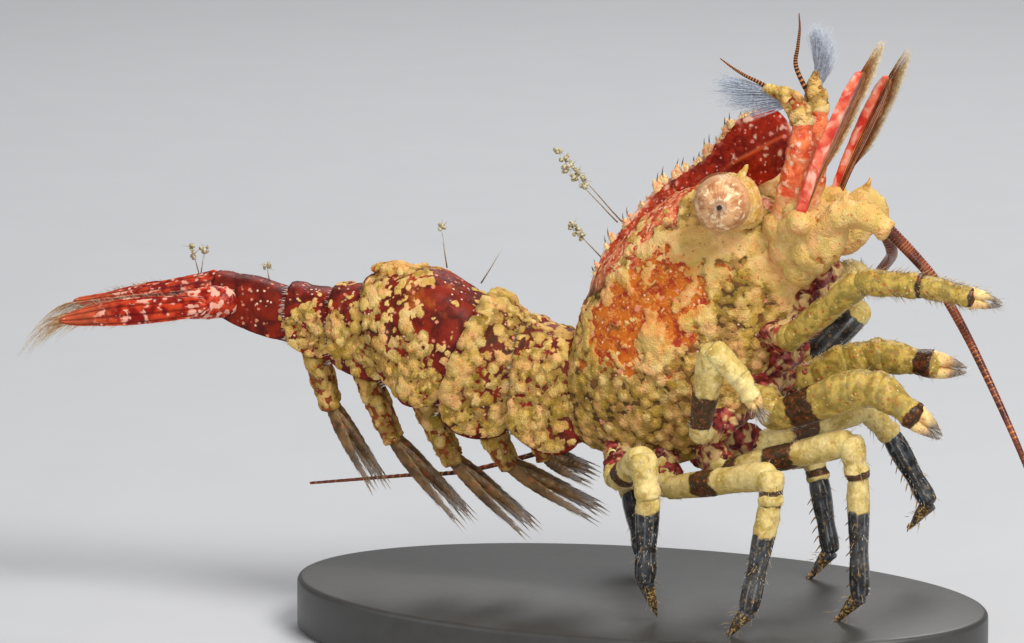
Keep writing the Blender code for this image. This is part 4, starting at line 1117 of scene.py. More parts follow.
piece("soft_body", body, muscle, "red_shell")

# The tail fan: the telson and two pairs of uropods, narrow ridged blades of bright red shell with
# rosy patches. They are closed over one another, and end in a brush of long tan bristles.

TAIL_LINE = [(-12.35, 9.52), (-14.35, 9.20), (-15.58, 8.98), (-16.90, 8.72)]
TAIL_HALF_THICK = 0.17
# For each blade: offset aside and down at root and at end, reach, tilt across, widths.
TELSON_WIDTHS = [0.40, 0.37, 0.34, 0.31, 0.28, 0.23, 0.12]
INNER_WIDTHS = [0.28, 0.34, 0.37, 0.36, 0.31, 0.24, 0.10]
OUTER_WIDTHS = [0.26, 0.36, 0.40, 0.39, 0.34, 0.25, 0.11]
TAIL_BLADES = {
    "telson": ((0, 0), (0, 0), 1.0, 0.0, TELSON_WIDTHS),
    "inner_uropod_right": ((-0.52, -0.50), (-0.70, -0.30), 0.985, 1.2, INNER_WIDTHS),
    "inner_uropod_left": ((0.52, -0.50), (0.70, -0.30), 0.985, -1.2, INNER_WIDTHS),
    "outer_uropod_right": ((-1.26, -0.36), (-1.50, -0.26), 0.95, 1.9, OUTER_WIDTHS),
    "outer_uropod_left": ((1.26, -0.36), (1.50, -0.26), 0.95, -1.9, OUTER_WIDTHS),
}
TAIL_BRISTLES = 46
TAIL_BRISTLE_RADIUS = 0.011
EDGE_HAIRS = 90
EDGE_HAIR_LENGTHS = (0.12, 0.30)
EDGE_HAIR_RADIUS = 0.006


def tail_row(spec, v):
    start, end, reach, tilt, widths = spec
    along = v * reach * (len(TAIL_LINE) - 1)
    x, z = mixed(TAIL_LINE, along)
    ahead_x, ahead_z = mixed(TAIL_LINE, min(along + 0.05, len(TAIL_LINE) - 1 + 0.05))
    ahead = Vector((ahead_x - x, 0, ahead_z - z)).normalized()
    settle = min(v * 2, 1)
    aside = start[0] + (end[0] - start[0]) * settle
    centre = Vector((x, aside, z + start[1] + (end[1] - start[1]) * settle))
    across = Vector((0, 1, tilt))
    across = (across - ahead * across.dot(ahead)).normalized()
    return centre, across, ahead.cross(across), graded(widths, v), ahead


def tail_blade(name, spec, rows=120, columns=56):
    row = lru_cache(maxsize=1)(lambda v: tail_row(spec, v))

    def place(u, v):
        centre, across, through, width, ahead = row(v)
        turn = 2 * math.pi * u
        close = min(v * 20, (1 - v) * 14, 1) ** 0.5
        side, face = math.cos(turn), math.sin(turn)
        depth = TAIL_HALF_THICK * face * (0.35 + 0.65 * abs(face)) * (0.55 + 0.45 * (1 - v))
        depth -= 0.30 * max(-face, 0) * (1 - v) ** 3 * (name == "telson")
        return centre + (across * side * width + through * depth) * close

    def relief(spot, u, v):
        side = math.cos(2 * math.pi * u)
        ridges = 0.030 * hill(side, 0.16) + 0.020 * hill(abs(side) - 0.62, 0.12)
        groove = hill(abs(side) - 0.36, 0.09) + hill(abs(side) - 0.86, 0.06)
        streaky = Vector((spot.x, spot.y * 2, spot.z))
        patches = smooth(patchy(streaky, 0.26) + patchy(spot, 0.12) * 0.4, 0.06, 0.34)
        pale = patches * (1 - smooth(v, 0.62, 0.85)) * (1 - 0.7 * groove)
        return ridges * (1 - v) ** 0.3 - 0.012 * groove + 0.014 * patchy(spot, 0.15), pale, groove

    return raised(skin(columns, rows, place), ("pale", "groove"), relief), row


def tail_bristles(row, seed):
    dice = random.Random(seed)
    made = []
    for n in range(TAIL_BRISTLES):
        v = 0.80 + 0.19 * dice.random()
        centre, across, through, width, ahead = row(v)
        side = dice.uniform(-1, 1)
        root = centre + across * side * width * 0.85
        aim = ahead + across * side * 0.10
        aim += Vector((0, dice.uniform(-0.08, 0.08), dice.uniform(-0.05, 0.10)))
        length = (1.75 - 0.5 * abs(side)) * dice.uniform(0.75, 1.0) * (0.9 if v < 0.9 else 1)
        droop = (0, 0, -0.42 * length)
        made.append((root, aim, length * 0.92, TAIL_BRISTLE_RADIUS, droop, 0.5 + side * 0.4, v))
    for n in range(EDGE_HAIRS):
        v = dice.uniform(0.08, 0.97)
        centre, across, through, width, ahead = row(v)
        side = dice.choice((-1, 1))
        root = centre + across * side * width * 0.92
        aim = ahead * dice.uniform(0.9, 1.6) + across * side + Vector((0, 0, dice.uniform(-0.1, 0.4)))
        length = dice.uniform(*EDGE_HAIR_LENGTHS)
        made.append((root, aim, length, EDGE_HAIR_RADIUS, STRAIGHT, 0.5 + side * 0.45, v))
    return made


fan = Finish(
    "bright_red_fan", Subsurface_Weight=0.2, Subsurface_Scale=0.0004, Coat_Roughness=0.15,
    Specular_IOR_Level=0.14,
)
fan_pale = fan.mark("pale")
flame = fan.painted(
    (0.22, 0.006, 0.004),
    (fan.patches(0.38, 0.62, 0.30, 5.0), (0.60, 0.055, 0.014)),
    (fan.frayed("along", 0.45, 0.95, 0.4, 0.4) * 0.6, (0.74, 0.17, 0.06)),
    # Painted shade: nearly black along the sunken grooves between the ridges.
    (fan.mark("groove") * 0.85, (0.08, 0.003, 0.003)),
    (fan.frayed("pale", 0.25, 1.0, 0.6, 0.07) * 0.9, (0.86, 0.46, 0.34)),
    (star_spots(fan, 0.22) * 0.7, (0.86, 0.50, 0.40)),
)
fan.feed(Base_Color=flame, Roughness=0.36 + fan_pale * 0.25, Coat_Weight=0.08 - fan_pale * 0.06)
fan.bump(fan.cloud(0.06, 3.0), 0.012, 0.6)
tan_bristle = hair_finish("tan_bristles", (0.55, 0.30, 0.14), (0.78, 0.66, 0.46))
fan_hairs = []
for seed, (name, spec) in enumerate(TAIL_BLADES.items()):
    blade_skin, row = tail_blade(name, spec)
    piece(name + "_blade", blade_skin, fan, "red_shell", name)
    fan_hairs += tail_bristles(row, seed)
placed("tail_bristles", strand_mesh("tail_bristles", fan_hairs, steps=6), tan_bristle, "red_shell")

UROPOD_ROOT = ((-11.8, 0.36, 9.20), (-12.6, 0.66, 9.10), (-13.5, 1.04, 9.02))
UROPOD_ROOT_RADII = (0.36, 0.48, 0.44, 0.28)
uropod_roots = []
for side in SIDES.values():
    path = [(x, side * y, z) for x, y, z in UROPOD_ROOT]
    uropod_roots.append(tube(path, UROPOD_ROOT_RADII, 36, 50, flat=0.95))
bases = raised(melded(joined(uropod_roots), 0.035, 2), ("pale",), lambda p, u, v: (
    0.05 * patchy(p, 0.3) + 0.01 * clump(p, 0.1), smooth(patchy(p, 0.24), 0.08, 0.18)))
piece("uropod_bases", bases, fan, "red_shell")

# The swimming legs: five pairs below the abdomen. Each has a flat crusted stem and two narrow,
# smoky, half-clear blades that trail forwards, edged with fine hairs.

SWIMMERS = {
    1: ((-3.10, 6.8), (-2.68, 5.28), (-1.35, 4.82)),
    2: ((-5.00, 7.2), (-3.75, 4.92), (-1.02, 3.70)),
    3: ((-6.95, 7.8), (-5.40, 4.95), (-3.02, 3.08)),
    4: ((-8.45, 8.3), (-7.20, 5.45), (-4.94, 3.23)),
    5: ((-9.85, 8.8), (-9.03, 6.28), (-7.55, 4.05)),
}
SWIMMER_LAG = 0.22
SWIMMER_Y = 0.42
STEM_RADII = (0.24, 0.30, 0.29, 0.22)
RAMUS_RADII = (0.13, 0.17, 0.14, 0.085, 0.03)
# For each of a leg's two blades: lean, reach and how far it stands out.
RAMI = ((-0.17, 0.97, 0.10), (0.15, 1.0, -0.10))
RAMUS_HAIRS = 64
RAMUS_HAIR_LENGTHS = (0.20, 0.42)
RAMUS_HAIR_RADIUS = 0.007

smoke = Finish("smoky_swimming_blades", Roughness=0.28, Specular_IOR_Level=0.3)
smoke_along = smoke.mark("along")
haze = smoke.painted(
    (0.080, 0.040, 0.014),
    (smoke.patches(0.38, 0.66, 0.6), (0.23, 0.125, 0.040)),
    (smoke.step(smoke.mark("edge"), 0.75, 0.98) * 0.5, (0.40, 0.26, 0.12)),
    (smoke.patches(0.62, 0.70, 0.22, 2.0) * 0.6 * (1 - smoke_along), (0.46, 0.09, 0.03)),
)
smoke.feed(Base_Color=haze, Alpha=0.97 - 0.42 * smoke.step(smoke_along, 0.3, 1.0))
smoke.bump(smoke.cloud(0.08, 3.0), 0.012, 0.5)
smoky_hair = hair_finish("smoky_hairs", (0.22, 0.12, 0.05), (0.48, 0.36, 0.22))
stem_crust = crust_finish("crusted_stems", (0.10, 0.014, 0.005), (0.32, 0.07, 0.014), 0.30)


def ramus_relief(place, u, v):
    return 0.006 * math.sin(v * 70) + 0.010 * patchy(place, 0.2), abs(math.cos(2 * math.pi * u))


swimmer_hairs = []
dice = random.Random(5)
for number, places in SWIMMERS.items():
    for word, side in SIDES.items():
        lag = SWIMMER_LAG if word == "left" else 0
        root, knee, tip = (Vector((x - lag, side * SWIMMER_Y, z)) for x, z in places)
        stem_path = [root, root.lerp(knee, 0.5), knee + (knee - root).normalized() * 0.1]
        stem = tube(stem_path, STEM_RADII, 56, 110, flat=0.85, reference=Vector((1, 0, 0)))
        raised(stem, CRUST_MARKS, lambda p, u, v: (*crusted(p, 0.70, 0.1), 0.3, 0.5))
        piece(f"swimmer_stem_{number}_{word}", stem, stem_crust, "crust", f"swimmer_{number}_{word}")
        trail = tip - knee
        square = Vector((-trail.z, 0, trail.x)).normalized()
        rami = []
        for lean, reach, out in RAMI:
            mid = knee + trail * 0.45 + square * lean * 0.7 + Vector((0, side * out, 0))
            end = knee + trail * reach * 0.93 + square * lean * 1.1 + Vector((0, side * out, 0))
            path = [knee, mid, end]
            ramus = tube(path, RAMUS_RADII, 28, 90, flat=0.42, reference=square)
            rami.append(raised(ramus, ("edge",), ramus_relief))
            for k in range(RAMUS_HAIRS):
                v = 1 - 0.8 * dice.random() ** 1.6
                spot = on_path(path, v * 2)
                edge = dice.choice((-1, 1))
                half = 0.17 * (1 - v) + 0.03
                aim = trail.normalized() * 2.4 + square * edge * (0.7 - 0.5 * v)
                aim += Vector((0, dice.uniform(-0.2, 0.2), 0))
                length = dice.uniform(*RAMUS_HAIR_LENGTHS) * (0.6 + 0.5 * v)
                spot += square * edge * half
                swimmer_hairs.append((spot, aim, length, RAMUS_HAIR_RADIUS, (0, 0, -0.05), 0.5, v))
        piece(f"swimmer_blades_{number}_{word}", joined(rami), smoke, "crust")
placed("swimmer_hairs", strand_mesh("swimmer_hairs", swimmer_hairs), smoky_hair, "crust")

# The jointed limbs: rounded tubes of shell, one for each segment, that overlap at the joints. Cream
# and granular at the root, ringed with red-brown bands, and smoky, half clear and finely lined in
# the outer segments. They carry stiff hairs and end in a curved claw or in two fingers.

# The crease mark is where shade is painted, between the granules.
LIMB_MARKS = ("dark", "clear", "crease", "olive")
WALK_RADII = (0.40, 0.40, 0.42, 0.36, 0.30, 0.20)
SLENDER_RADII = (0.34, 0.34, 0.43, 0.36, 0.30)
CLAW_RADII = (0.44, 0.50, 0.60, 0.57, 0.42)
MOUTH_RADII = (0.38, 0.40, 0.42, 0.38, 0.31)
FOOT_TOP = 1.53
LIMB_HAIR_RADIUS = 0.010
BRUSH_HAIR_RADIUS = 0.007
FUZZ_EACH = 420
FUZZ_LENGTH = 0.11
SHAGGY = 200
SOLE_CLAWS = 5
SHIN_SPINES = 6
# For each limb: joints, radii, dark bands and clear lengths (counted in segments), olive share,
# finger length, hairs, and length of the hairs.
LIMBS = {
    "walking_leg_5_right": (
        ((-0.3, -0.9, 6.1), (0.05, -2.2, 5.2), (1.36, -4.2, 6.37), (1.56, -4.3, 5.3),
         (1.26, -3.6, 2.75), (1.4, -2.95, 1.7)),
        WALK_RADII, ((1.3, 1.48),), ((3.22, 5.0),), 0.1, 0, 60, 0.3,
    ),
    "walking_leg_4_right": (
        ((0.9, -0.9, 6.0), (1.45, -2.1, 5.05), (4.91, -3.8, 6.05), (4.95, -3.9, 5.3),
         (4.38, -4.1, 2.25), (3.75, -4.05, FOOT_TOP)),
        WALK_RADII, ((1.34, 1.5), (2.55, 2.66), (3.02, 3.1)), ((3.34, 5.0),), 0.2, 0, 70, 0.3,
    ),
    "walking_leg_3_right": (
        ((2.1, -0.8, 6.2), (2.9, -1.5, 5.5), (6.72, -2.2, 6.78), (6.93, -2.15, 5.8), (6.88, -1.7, 2.3),
         (6.1, -1.5, FOOT_TOP)),
        WALK_RADII, ((1.08, 1.2), (1.38, 1.57), (2.78, 3.02)), ((3.32, 5.0),), 0.15, 0, 80, 0.32,
    ),
    "walking_leg_5_left": (
        ((-0.3, 0.9, 6.1), (-0.4, 2.0, 5.3), (-1.9, 4.2, 4.1), (-1.38, 3.7, 3.45), (-0.5, 2.0, 2.15),
         (-0.1, 1.5, FOOT_TOP)),
        WALK_RADII, ((1.35, 1.5),), ((3.15, 5.0),), 0.1, 0, 60, 0.28,
    ),
    "walking_leg_4_left": (
        ((0.9, 0.9, 6.0), (1.45, 2.1, 4.95), (4.05, 3.25, 5.05), (4.29, 3.1, 4.4), (4.7, 3.0, 2.35),
         (4.0, 3.0, FOOT_TOP)),
        WALK_RADII, ((1.38, 1.52), (2.6, 2.8)), ((3.02, 5.0),), 0.1, 0, 60, 0.28,
    ),
    "walking_leg_3_left": (
        ((2.1, 0.8, 6.2), (3.0, 1.6, 5.65), (5.45, 3.9, 6.35), (6.13, 4.1, 5.55), (7.29, 4.0, 3.7),
         (6.65, 4.0, 2.95)),
        WALK_RADII, ((1.3, 1.5),), ((2.98, 5.0),), 0.1, 0, 70, 0.32,
    ),
    "slender_leg_right": (
        ((2.9, -0.8, 7.0), (2.45, -2.5, 6.75), (3.1, -3.25, 9.3), (3.84, -3.25, 8.62),
         (4.15, -3.15, 8.05)),
        SLENDER_RADII, ((1.18, 1.5),), (), 0.0, 0.75, 60, 0.22,
    ),
    "slender_leg_left": (
        ((2.9, 0.8, 7.0), (3.35, 2.5, 7.0), (5.4, 3.2, 9.3), (4.98, 3.5, 8.75), (4.75, 3.75, 8.4)),
        SLENDER_RADII, ((1.1, 1.25),), ((1.42, 1.88), (2.55, 3.2)), 0.1, 0.75, 50, 0.22,
    ),
    "claw_leg_right": (
        ((3.5, -0.8, 8.0), (4.5, -1.8, 7.22), (6.85, -2.2, 8.28), (7.61, -2.3, 8.3), (8.6, -2.3, 7.6)),
        CLAW_RADII, ((1.28, 1.52), (3.74, 4.02)), (), 0.8, 0.95, 90, 0.25,
    ),
    "claw_leg_left": (
        ((3.5, 0.8, 8.0), (4.4, 1.6, 7.55), (5.4, 1.9, 8.05), (6.42, 2.0, 8.3), (8.0, 2.0, 8.14)),
        CLAW_RADII, ((3.62, 3.84),), (), 0.95, 0.95, 90, 0.25,
    ),
    "mouth_limb_right": (
        ((4.0, -0.8, 9.3), (4.85, -1.6, 9.45), (6.98, -2.25, 11.28), (8.79, -2.4, 11.3),
         (10.2, -2.4, 11.07)),
        MOUTH_RADII, ((2.86, 3.06), (3.86, 4.0)), (), 0.9, 0.95, 420, 0.34,
    ),
    "mouth_limb_left": (
        ((4.0, 0.8, 9.3), (4.6, 1.7, 9.6), (5.7, 2.1, 10.5), (5.3, 2.75, 10.45), (4.75, 3.1, 10.2)),
        MOUTH_RADII, ((2.8, 3.05),), (), 0.2, 0.95, 260, 0.3,
    ),
}


def points(places):
    return [Vector(p) for p in places]


def limb_plane(joints):
    """The direction square to the plane in which a limb bends."""
    normal = Vector()
    for a, b, c in zip(joints, joints[1:], joints[2:]):
        turn = (b - a).cross(c - b)
        normal += turn if turn.dot(normal) >= 0 else -turn
    return normal.normalized()


def within(share, spans):
    """1 where the share lies in one of the spans, 0 elsewhere, soft at their ends."""
    bands = (smooth(share, a - 0.05, a + 0.04) * (1 - smooth(share, b - 0.04, b + 0.05)) for a, b in spans)
    return max(bands, default=0.0)


def limb_relief(dark, clear, olive, lumpy=1.0):
    def relief(place, u, along):
        moved = along + 0.05 * patchy(place, 0.25)
        glass = within(moved, clear)
        granule = clump(place, 0.15)
        rough = 0.014 * granule + 0.03 * patchy(place, 0.45) + 0.010 * wrinkle(place, 0.5)
        height = (1 - glass) * lumpy * rough + glass * 0.008 * patchy(place, 0.1)
        golden = smooth(along, 4.02, 4.12)
        return height, within(moved, dark), glass, (1 - granule) * (1 - glass), max(olive, golden)

    return relief


def limb_skins(joints, radii, relief, sides=34, rows=66):
    """One rounded tube for each segment, drawn in at its root and slightly flared at its end."""
    across = limb_plane(joints)
    skins = []
    for k, (start, end) in enumerate(zip(joints, joints[1:])):
        ahead = (end - start).normalized()
        near, far = radii[k], radii[k + 1]
        path = [start - ahead * near * 0.35, start.lerp(end, 0.5), end + ahead * far * 0.30]
        profile = (near * 0.74, near * 0.93, (near + far) * 0.49, far * 0.93, far * 1.03, far * 0.84)
        part = tube(path, profile, sides, rows, flat=0.9, reference=across, ends=0.8)
        skins.append(raised(part, LIMB_MARKS, lambda p, u, v, n=k: relief(p, u, n + v)))
    return skins


def finger_skins(joints, radius, length):
    """Two slim fingers with tips that hook towards each other."""
    ahead = (joints[-1] - joints[-2]).normalized()
    square = limb_plane(joints).cross(ahead)
    fingers = []
    for lean in (-1, 1):
        root = joints[-1] + square * lean * radius * 0.42 - ahead * 0.1
        aim = ahead + square * lean * 0.12
        finger = horn(root, aim, length + 0.05, radius * 0.56, -square * lean * 0.24, 28, 48)
        fingers.append(raised(finger, (), lambda p, u, v: (0.03 * patchy(p, 0.25),)))
    return fingers


def limb_hairs(joints, radii, count, length, dice, first=1.0):
    hairs = []
    across = limb_plane(joints)
    for n in range(count):
        along = dice.uniform(first, len(joints) - 1.02)
        k = int(along)
        start, end = joints[k], joints[k + 1]
        ahead = (end - start).normalized()
        turn = dice.uniform(0, 2 * math.pi)
        out = across * math.cos(turn) + ahead.cross(across) * math.sin(turn)
        radius = radii[k] + (radii[k + 1] - radii[k]) * (along - k)
        aim = out + ahead * dice.uniform(0.6, 1.8)
        reach = length * dice.uniform(0.35, 1.0)
        root = start.lerp(end, along - k) + out * radius * 0.86
        hairs.append((root, aim, reach, LIMB_HAIR_RADIUS, STRAIGHT, turn / 7, along / 6))
    return hairs


def any_way(dice):
    """A random vector in a cube from -1 to 1."""
    return Vector([dice.uniform(-1, 1) for axis in range(3)])


def tip_brush(root, ahead, count, length, spread, radius, dice):
    hairs = []
    for n in range(count):
        aside = any_way(dice)
        reach = length * dice.uniform(0.5, 1.0)
        u, v = 0.5 + aside.x * 0.3, 0.5 + aside.y * 0.3
        aim = ahead + aside * spread
        hairs.append((root + aside * radius, aim, reach, BRUSH_HAIR_RADIUS, STRAIGHT, u, v))
    return hairs


limb = Finish(
    "banded_limb_shell", Subsurface_Weight=0.15, Subsurface_Scale=0.0004,
    Subsurface_Radius=(1.0, 0.5, 0.25), Coat_Roughness=0.10, Specular_IOR_Level=0.2,
)
speck = limb.cloud(0.05, 2.0)
green = limb.mark("olive")
moss = limb.mix(limb.patches(0.38, 0.62, 0.25, 5.0), (0.21, 0.145, 0.016), (0.50, 0.34, 0.060))
ragged_dots = limb.cells(0.17) + (limb.cloud(0.035, 2.0) - 0.5) * 0.55
red_dots = (1 - limb.step(ragged_dots, 0.14, 0.38)) * limb.step(limb.draw(0.17), 0.62, 0.70)
band = limb.painted(
    (0.016, 0.005, 0.004),
    (limb.patches(0.46, 0.66, 0.14, 4.0), (0.13, 0.020, 0.009)),
    (limb.patches(0.62, 0.70, 0.09) * 0.7, (0.40, 0.20, 0.06)),
)
band_share = limb.frayed("dark", 0.28, 0.72, 0.5, 0.12, 4.0)
cream_shell = limb.painted(
    (0.84, 0.66, 0.28),
    (limb.patches(0.36, 0.62, 0.60, 4.0), (0.62, 0.45, 0.135)),
    (limb.patches(0.50, 0.66, 0.30, 5.0) * 0.65, (0.42, 0.28, 0.045)),
    (limb.patches(0.56, 0.66, 0.16, 4.0) * 0.45, (0.95, 0.82, 0.44)),
    (green, moss),
    # Painted shade: the shell is darkened in the creases between its granules.
    (limb.step(limb.mark("crease") + (speck - 0.5) * 0.7, 0.60, 1.20) * 0.35, (0.36, 0.22, 0.05)),
    (red_dots * (0.20 + 0.65 * green), (0.42, 0.065, 0.02)),
    (limb.patches(0.56, 0.68, 0.20, 4.0, 1.2) * green * 0.55, (0.36, 0.11, 0.025)),
    (limb.dots(0.16, 0.26, 0.13) * limb.patches(0.50, 0.62, 0.6) * 0.6, (0.94, 0.80, 0.44)),
    (band_share * 0.94, band),
)
lines = limb.step(limb.wave("around", 56.0) + (limb.cloud(0.4) - 0.5) * 1.4, 0.55, 0.95)
gold = limb.mix(limb.patches(0.50, 0.64, 0.07), (0.10, 0.055, 0.020), (0.62, 0.42, 0.16))
glass = limb.painted(
    (0.010, 0.012, 0.016),
    (limb.patches(0.35, 0.65, 0.4), (0.045, 0.055, 0.065)),
    (lines * limb.patches(0.40, 0.55, 0.35) * 0.5, (0.22, 0.24, 0.26)),
    (red_dots * 0.5, (0.40, 0.26, 0.10)),
    (green * limb.patches(0.38, 0.54, 0.22, 4.0), gold),
)
glass_share = limb.frayed("clear", 0.32, 0.68, 0.4, 0.14, 4.0)
limb.feed(
    Base_Color=limb.mix(glass_share, cream_shell, glass),
    Roughness=0.48 - glass_share * 0.22 - band_share * 0.10,
    Coat_Weight=glass_share * 0.22 + band_share * 0.05 + 0.02,
)
limb.bump((1 - limb.cells(0.06)) * (1 - glass_share * 0.8) + speck * 0.3, 0.014, 0.7)

claw_tip = Finish("hooked_claws", Roughness=0.25, Coat_Weight=0.5)
hook = claw_tip.frayed("along", 0.30, 0.75, 0.3, 0.1)
claw_tip.feed(Base_Color=claw_tip.mix(hook, (0.50, 0.30, 0.12), (0.05, 0.018, 0.008)))
leg_hair = hair_finish("leg_hairs", (0.45, 0.28, 0.12), (0.82, 0.68, 0.45))

dice = random.Random(21)
leg_strands, grey_strands, fuzz, claws, finger_parts = [], [], [], [], []
for name, (places, radii, dark, clear, olive, fingers, hairs, reach) in LIMBS.items():
    joints = points(places)
    ahead = (joints[-1] - joints[-2]).normalized()
    relief = limb_relief(dark, clear, olive)
    if fingers:
        skins = limb_skins(joints, radii, relief)
        finger_parts += finger_skins(joints, radii[-1], fingers)
        tip = joints[-1] + ahead * fingers * 0.65
        grey_strands += tip_brush(tip, ahead, 60, 0.38, 0.55, 0.10, dice)
        leg_strands += tip_brush(joints[-1] + ahead * 0.2, ahead, 40, 0.36, 0.9, 0.22, dice)
    else:
        skins = limb_skins(joints[:-1], radii[:-1], relief)
        bend = limb_plane(joints).cross(ahead) * 0.10
        foot = horn(joints[-2], ahead, (joints[-1] - joints[-2]).length, 0.24, bend, 28, 56)
        skins.append(raised(foot, LIMB_MARKS, lambda p, u, v, r=relief: r(p, u, 4 + v)))
        for k in range(SOLE_CLAWS):
            spot = joints[-2].lerp(joints[-1], 0.42 + 0.12 * k)
            below = (Vector((0, 0, -1)) + ahead * 0.7).normalized()
            claws.append(horn(spot + below * 0.07, below, 0.20 - 0.015 * k, 0.035, ahead * 0.2, 10, 14))
        claws.append(horn(joints[-1] - ahead * 0.14, ahead, 0.17, 0.055, STRAIGHT, 12, 16))
        shin = (joints[-2] - joints[-3]).normalized()
        inner = (-limb_plane(joints).cross(shin)).normalized()
        inner = inner if inner.dot(ahead) > 0 else -inner
        for k in range(SHIN_SPINES):
            spot = joints[-3].lerp(joints[-2], 0.25 + 0.13 * k)
            claws.append(horn(spot + inner * 0.26, inner + shin * 0.8, 0.24, 0.028, shin * 0.2, 8, 12))
    piece(name + "_shell", joined(skins), limb, "banded_limb", name)
    leg_strands += limb_hairs(joints, radii, hairs, reach, dice, 1.8 if hairs > SHAGGY else 1.0)
    fuzz += limb_hairs(joints[:-1], radii, FUZZ_EACH, FUZZ_LENGTH, dice, 0.3)
piece("leg_claws", joined(claws), claw_tip, "banded_limb")

finger = Finish(
    "finger_shell", Specular_IOR_Level=0.25, Subsurface_Weight=0.15, Subsurface_Scale=0.0003,
)
toward_tip = finger.frayed("along", 0.38, 0.72, 0.35, 0.15)
finger_tone = finger.painted(
    (0.84, 0.50, 0.20),
    (finger.patches(0.38, 0.62, 0.3), (0.86, 0.64, 0.26)),
    (toward_tip, (0.22, 0.17, 0.13)),
    (finger.dots(0.16, 0.30, 0.12) * 0.7, (0.44, 0.20, 0.08)),
)
finger.feed(Base_Color=finger_tone, Roughness=0.42 - toward_tip * 0.2, Alpha=1 - toward_tip * 0.25)
finger.bump(finger.cloud(0.06, 3.0), 0.012, 0.6)
piece("fingers", joined(finger_parts), finger, "banded_limb")
placed("leg_hairs", strand_mesh("leg_hairs", leg_strands), leg_hair, "banded_limb")
placed("leg_fuzz", strand_mesh("leg_fuzz", fuzz, steps=2), down, "banded_limb")
grey_hair = hair_finish("grey_tip_hairs", (0.50, 0.46, 0.40), (0.78, 0.76, 0.72))
placed("grey_tip_hairs", strand_mesh("grey_tip_hairs", grey_strands), grey_hair, "banded_limb")

# The limb roots and mouthparts: lobes of thin glassy skin under the thorax and the head, purple-red
# with cream blotches, grown together between the limbs.

# Lobes under the head as x, z and radius.
HEAD_LOBES = (
    (4.95, 10.35, 0.48), (4.7, 9.55, 0.55), (4.35, 8.75, 0.55), (3.95, 8.0, 0.55), (5.35, 11.0, 0.4),
)
HEAD_LOBE_Y = 0.55
ROOT_RADIUS = 0.50
roots = []
for places, *rest in LIMBS.values():
    joints = points(places[:2])
    for share in (0.0, 0.35, 0.7):
        centre, axis = joints[0].lerp(joints[1], share), Vector((0, 1, 0.2)).normalized()
        roots.append(globe(centre, axis, ROOT_RADIUS - 0.07 * share, 32, 22))
for side in SIDES.values():
    for x, z, size in HEAD_LOBES:
        axis = Vector((1, side * 0.3, 0)).normalized()
        roots.append(globe(Vector((x, side * HEAD_LOBE_Y, z)), axis, size, 36, 24, 0.75))
crimson = Finish(
    "glassy_limb_roots", Specular_IOR_Level=0.2, Subsurface_Weight=0.2, Subsurface_Scale=0.0004,
)
blotch = crimson.patches(0.50, 0.62, 0.45, 5.0, 1.0)
plum = crimson.painted(
    (0.08, 0.008, 0.007),
    (crimson.patches(0.38, 0.62, 0.30, 5.0), (0.34, 0.045, 0.035)),
    (crimson.patches(0.56, 0.68, 0.22, 4.0) * 0.6, (0.50, 0.16, 0.14)),
    (blotch * 0.85, (0.62, 0.44, 0.18)),
)
crimson.feed(Base_Color=plum, Roughness=0.32 + blotch * 0.3)
crimson.bump((1 - crimson.cells(0.08)) * 0.6 + crimson.cloud(0.1, 3.0), 0.02, 0.7)
lobed = raised(melded(joined(roots), 0.055, 4), (), lambda p, u, v: (
    0.12 * patchy(p, 0.5) + 0.05 * clump(p, 0.20) + 0.02 * wrinkle(p, 0.7) - 0.03,))
piece("limb_roots", lobed, crimson, "crust")

# The first pair of feelers: a stem of three pink-orange segments with white patches, a thick short
# branch that carries a plume of fine sense hairs, and a thin ringed whip.

# For each side: the stem's joints, the thick branch's and the whip's path, then the plume's turn in
# degrees, length and half spread.
ANTENNULES = {
    "right": (
        ((4.4, -0.9, 12.3), (4.7, -0.96, 13.55), (4.92, -0.97, 14.6), (4.95, -1.0, 15.5)),
        ((4.93, -1.0, 15.35), (4.7, -1.03, 15.9), (4.3, -1.05, 16.15), (3.85, -1.05, 16.3)),
        ((4.7, -1.05, 15.75), (3.95, -1.05, 16.3), (3.3, -1.05, 16.6), (2.92, -1.0, 16.79),
         (2.55, -0.95, 17.02)),
        184, 2.1, 15,
    ),
    "left": (
        ((4.4, 0.9, 12.3), (4.62, 0.96, 13.55), (4.76, 0.98, 14.6), (4.83, 1.0, 15.5)),
        ((4.82, 1.0, 15.35), (4.72, 1.02, 15.8), (4.7, 1.03, 16.1), (4.8, 1.04, 16.45)),
        ((4.62, 1.03, 15.6), (4.16, 1.05, 16.5), (4.2, 1.05, 17.1), (4.25, 1.05, 17.6),
         (4.24, 1.0, 18.05)),
        81, 1.85, 22,
    ),
}
STEM_JOINT_RADII = (0.46, 0.50, 0.46, 0.34)
BRANCH_RADII = (0.30, 0.29, 0.23, 0.15, 0.07)
WHIP_RADII = (0.075, 0.065, 0.05, 0.035, 0.015)
PLUME_STRANDS = 380
PLUME_STRAND_RADIUS = 0.0085
rosy = Finish("pink_stems", Subsurface_Weight=0.2, Subsurface_Scale=0.0005, Specular_IOR_Level=0.2)
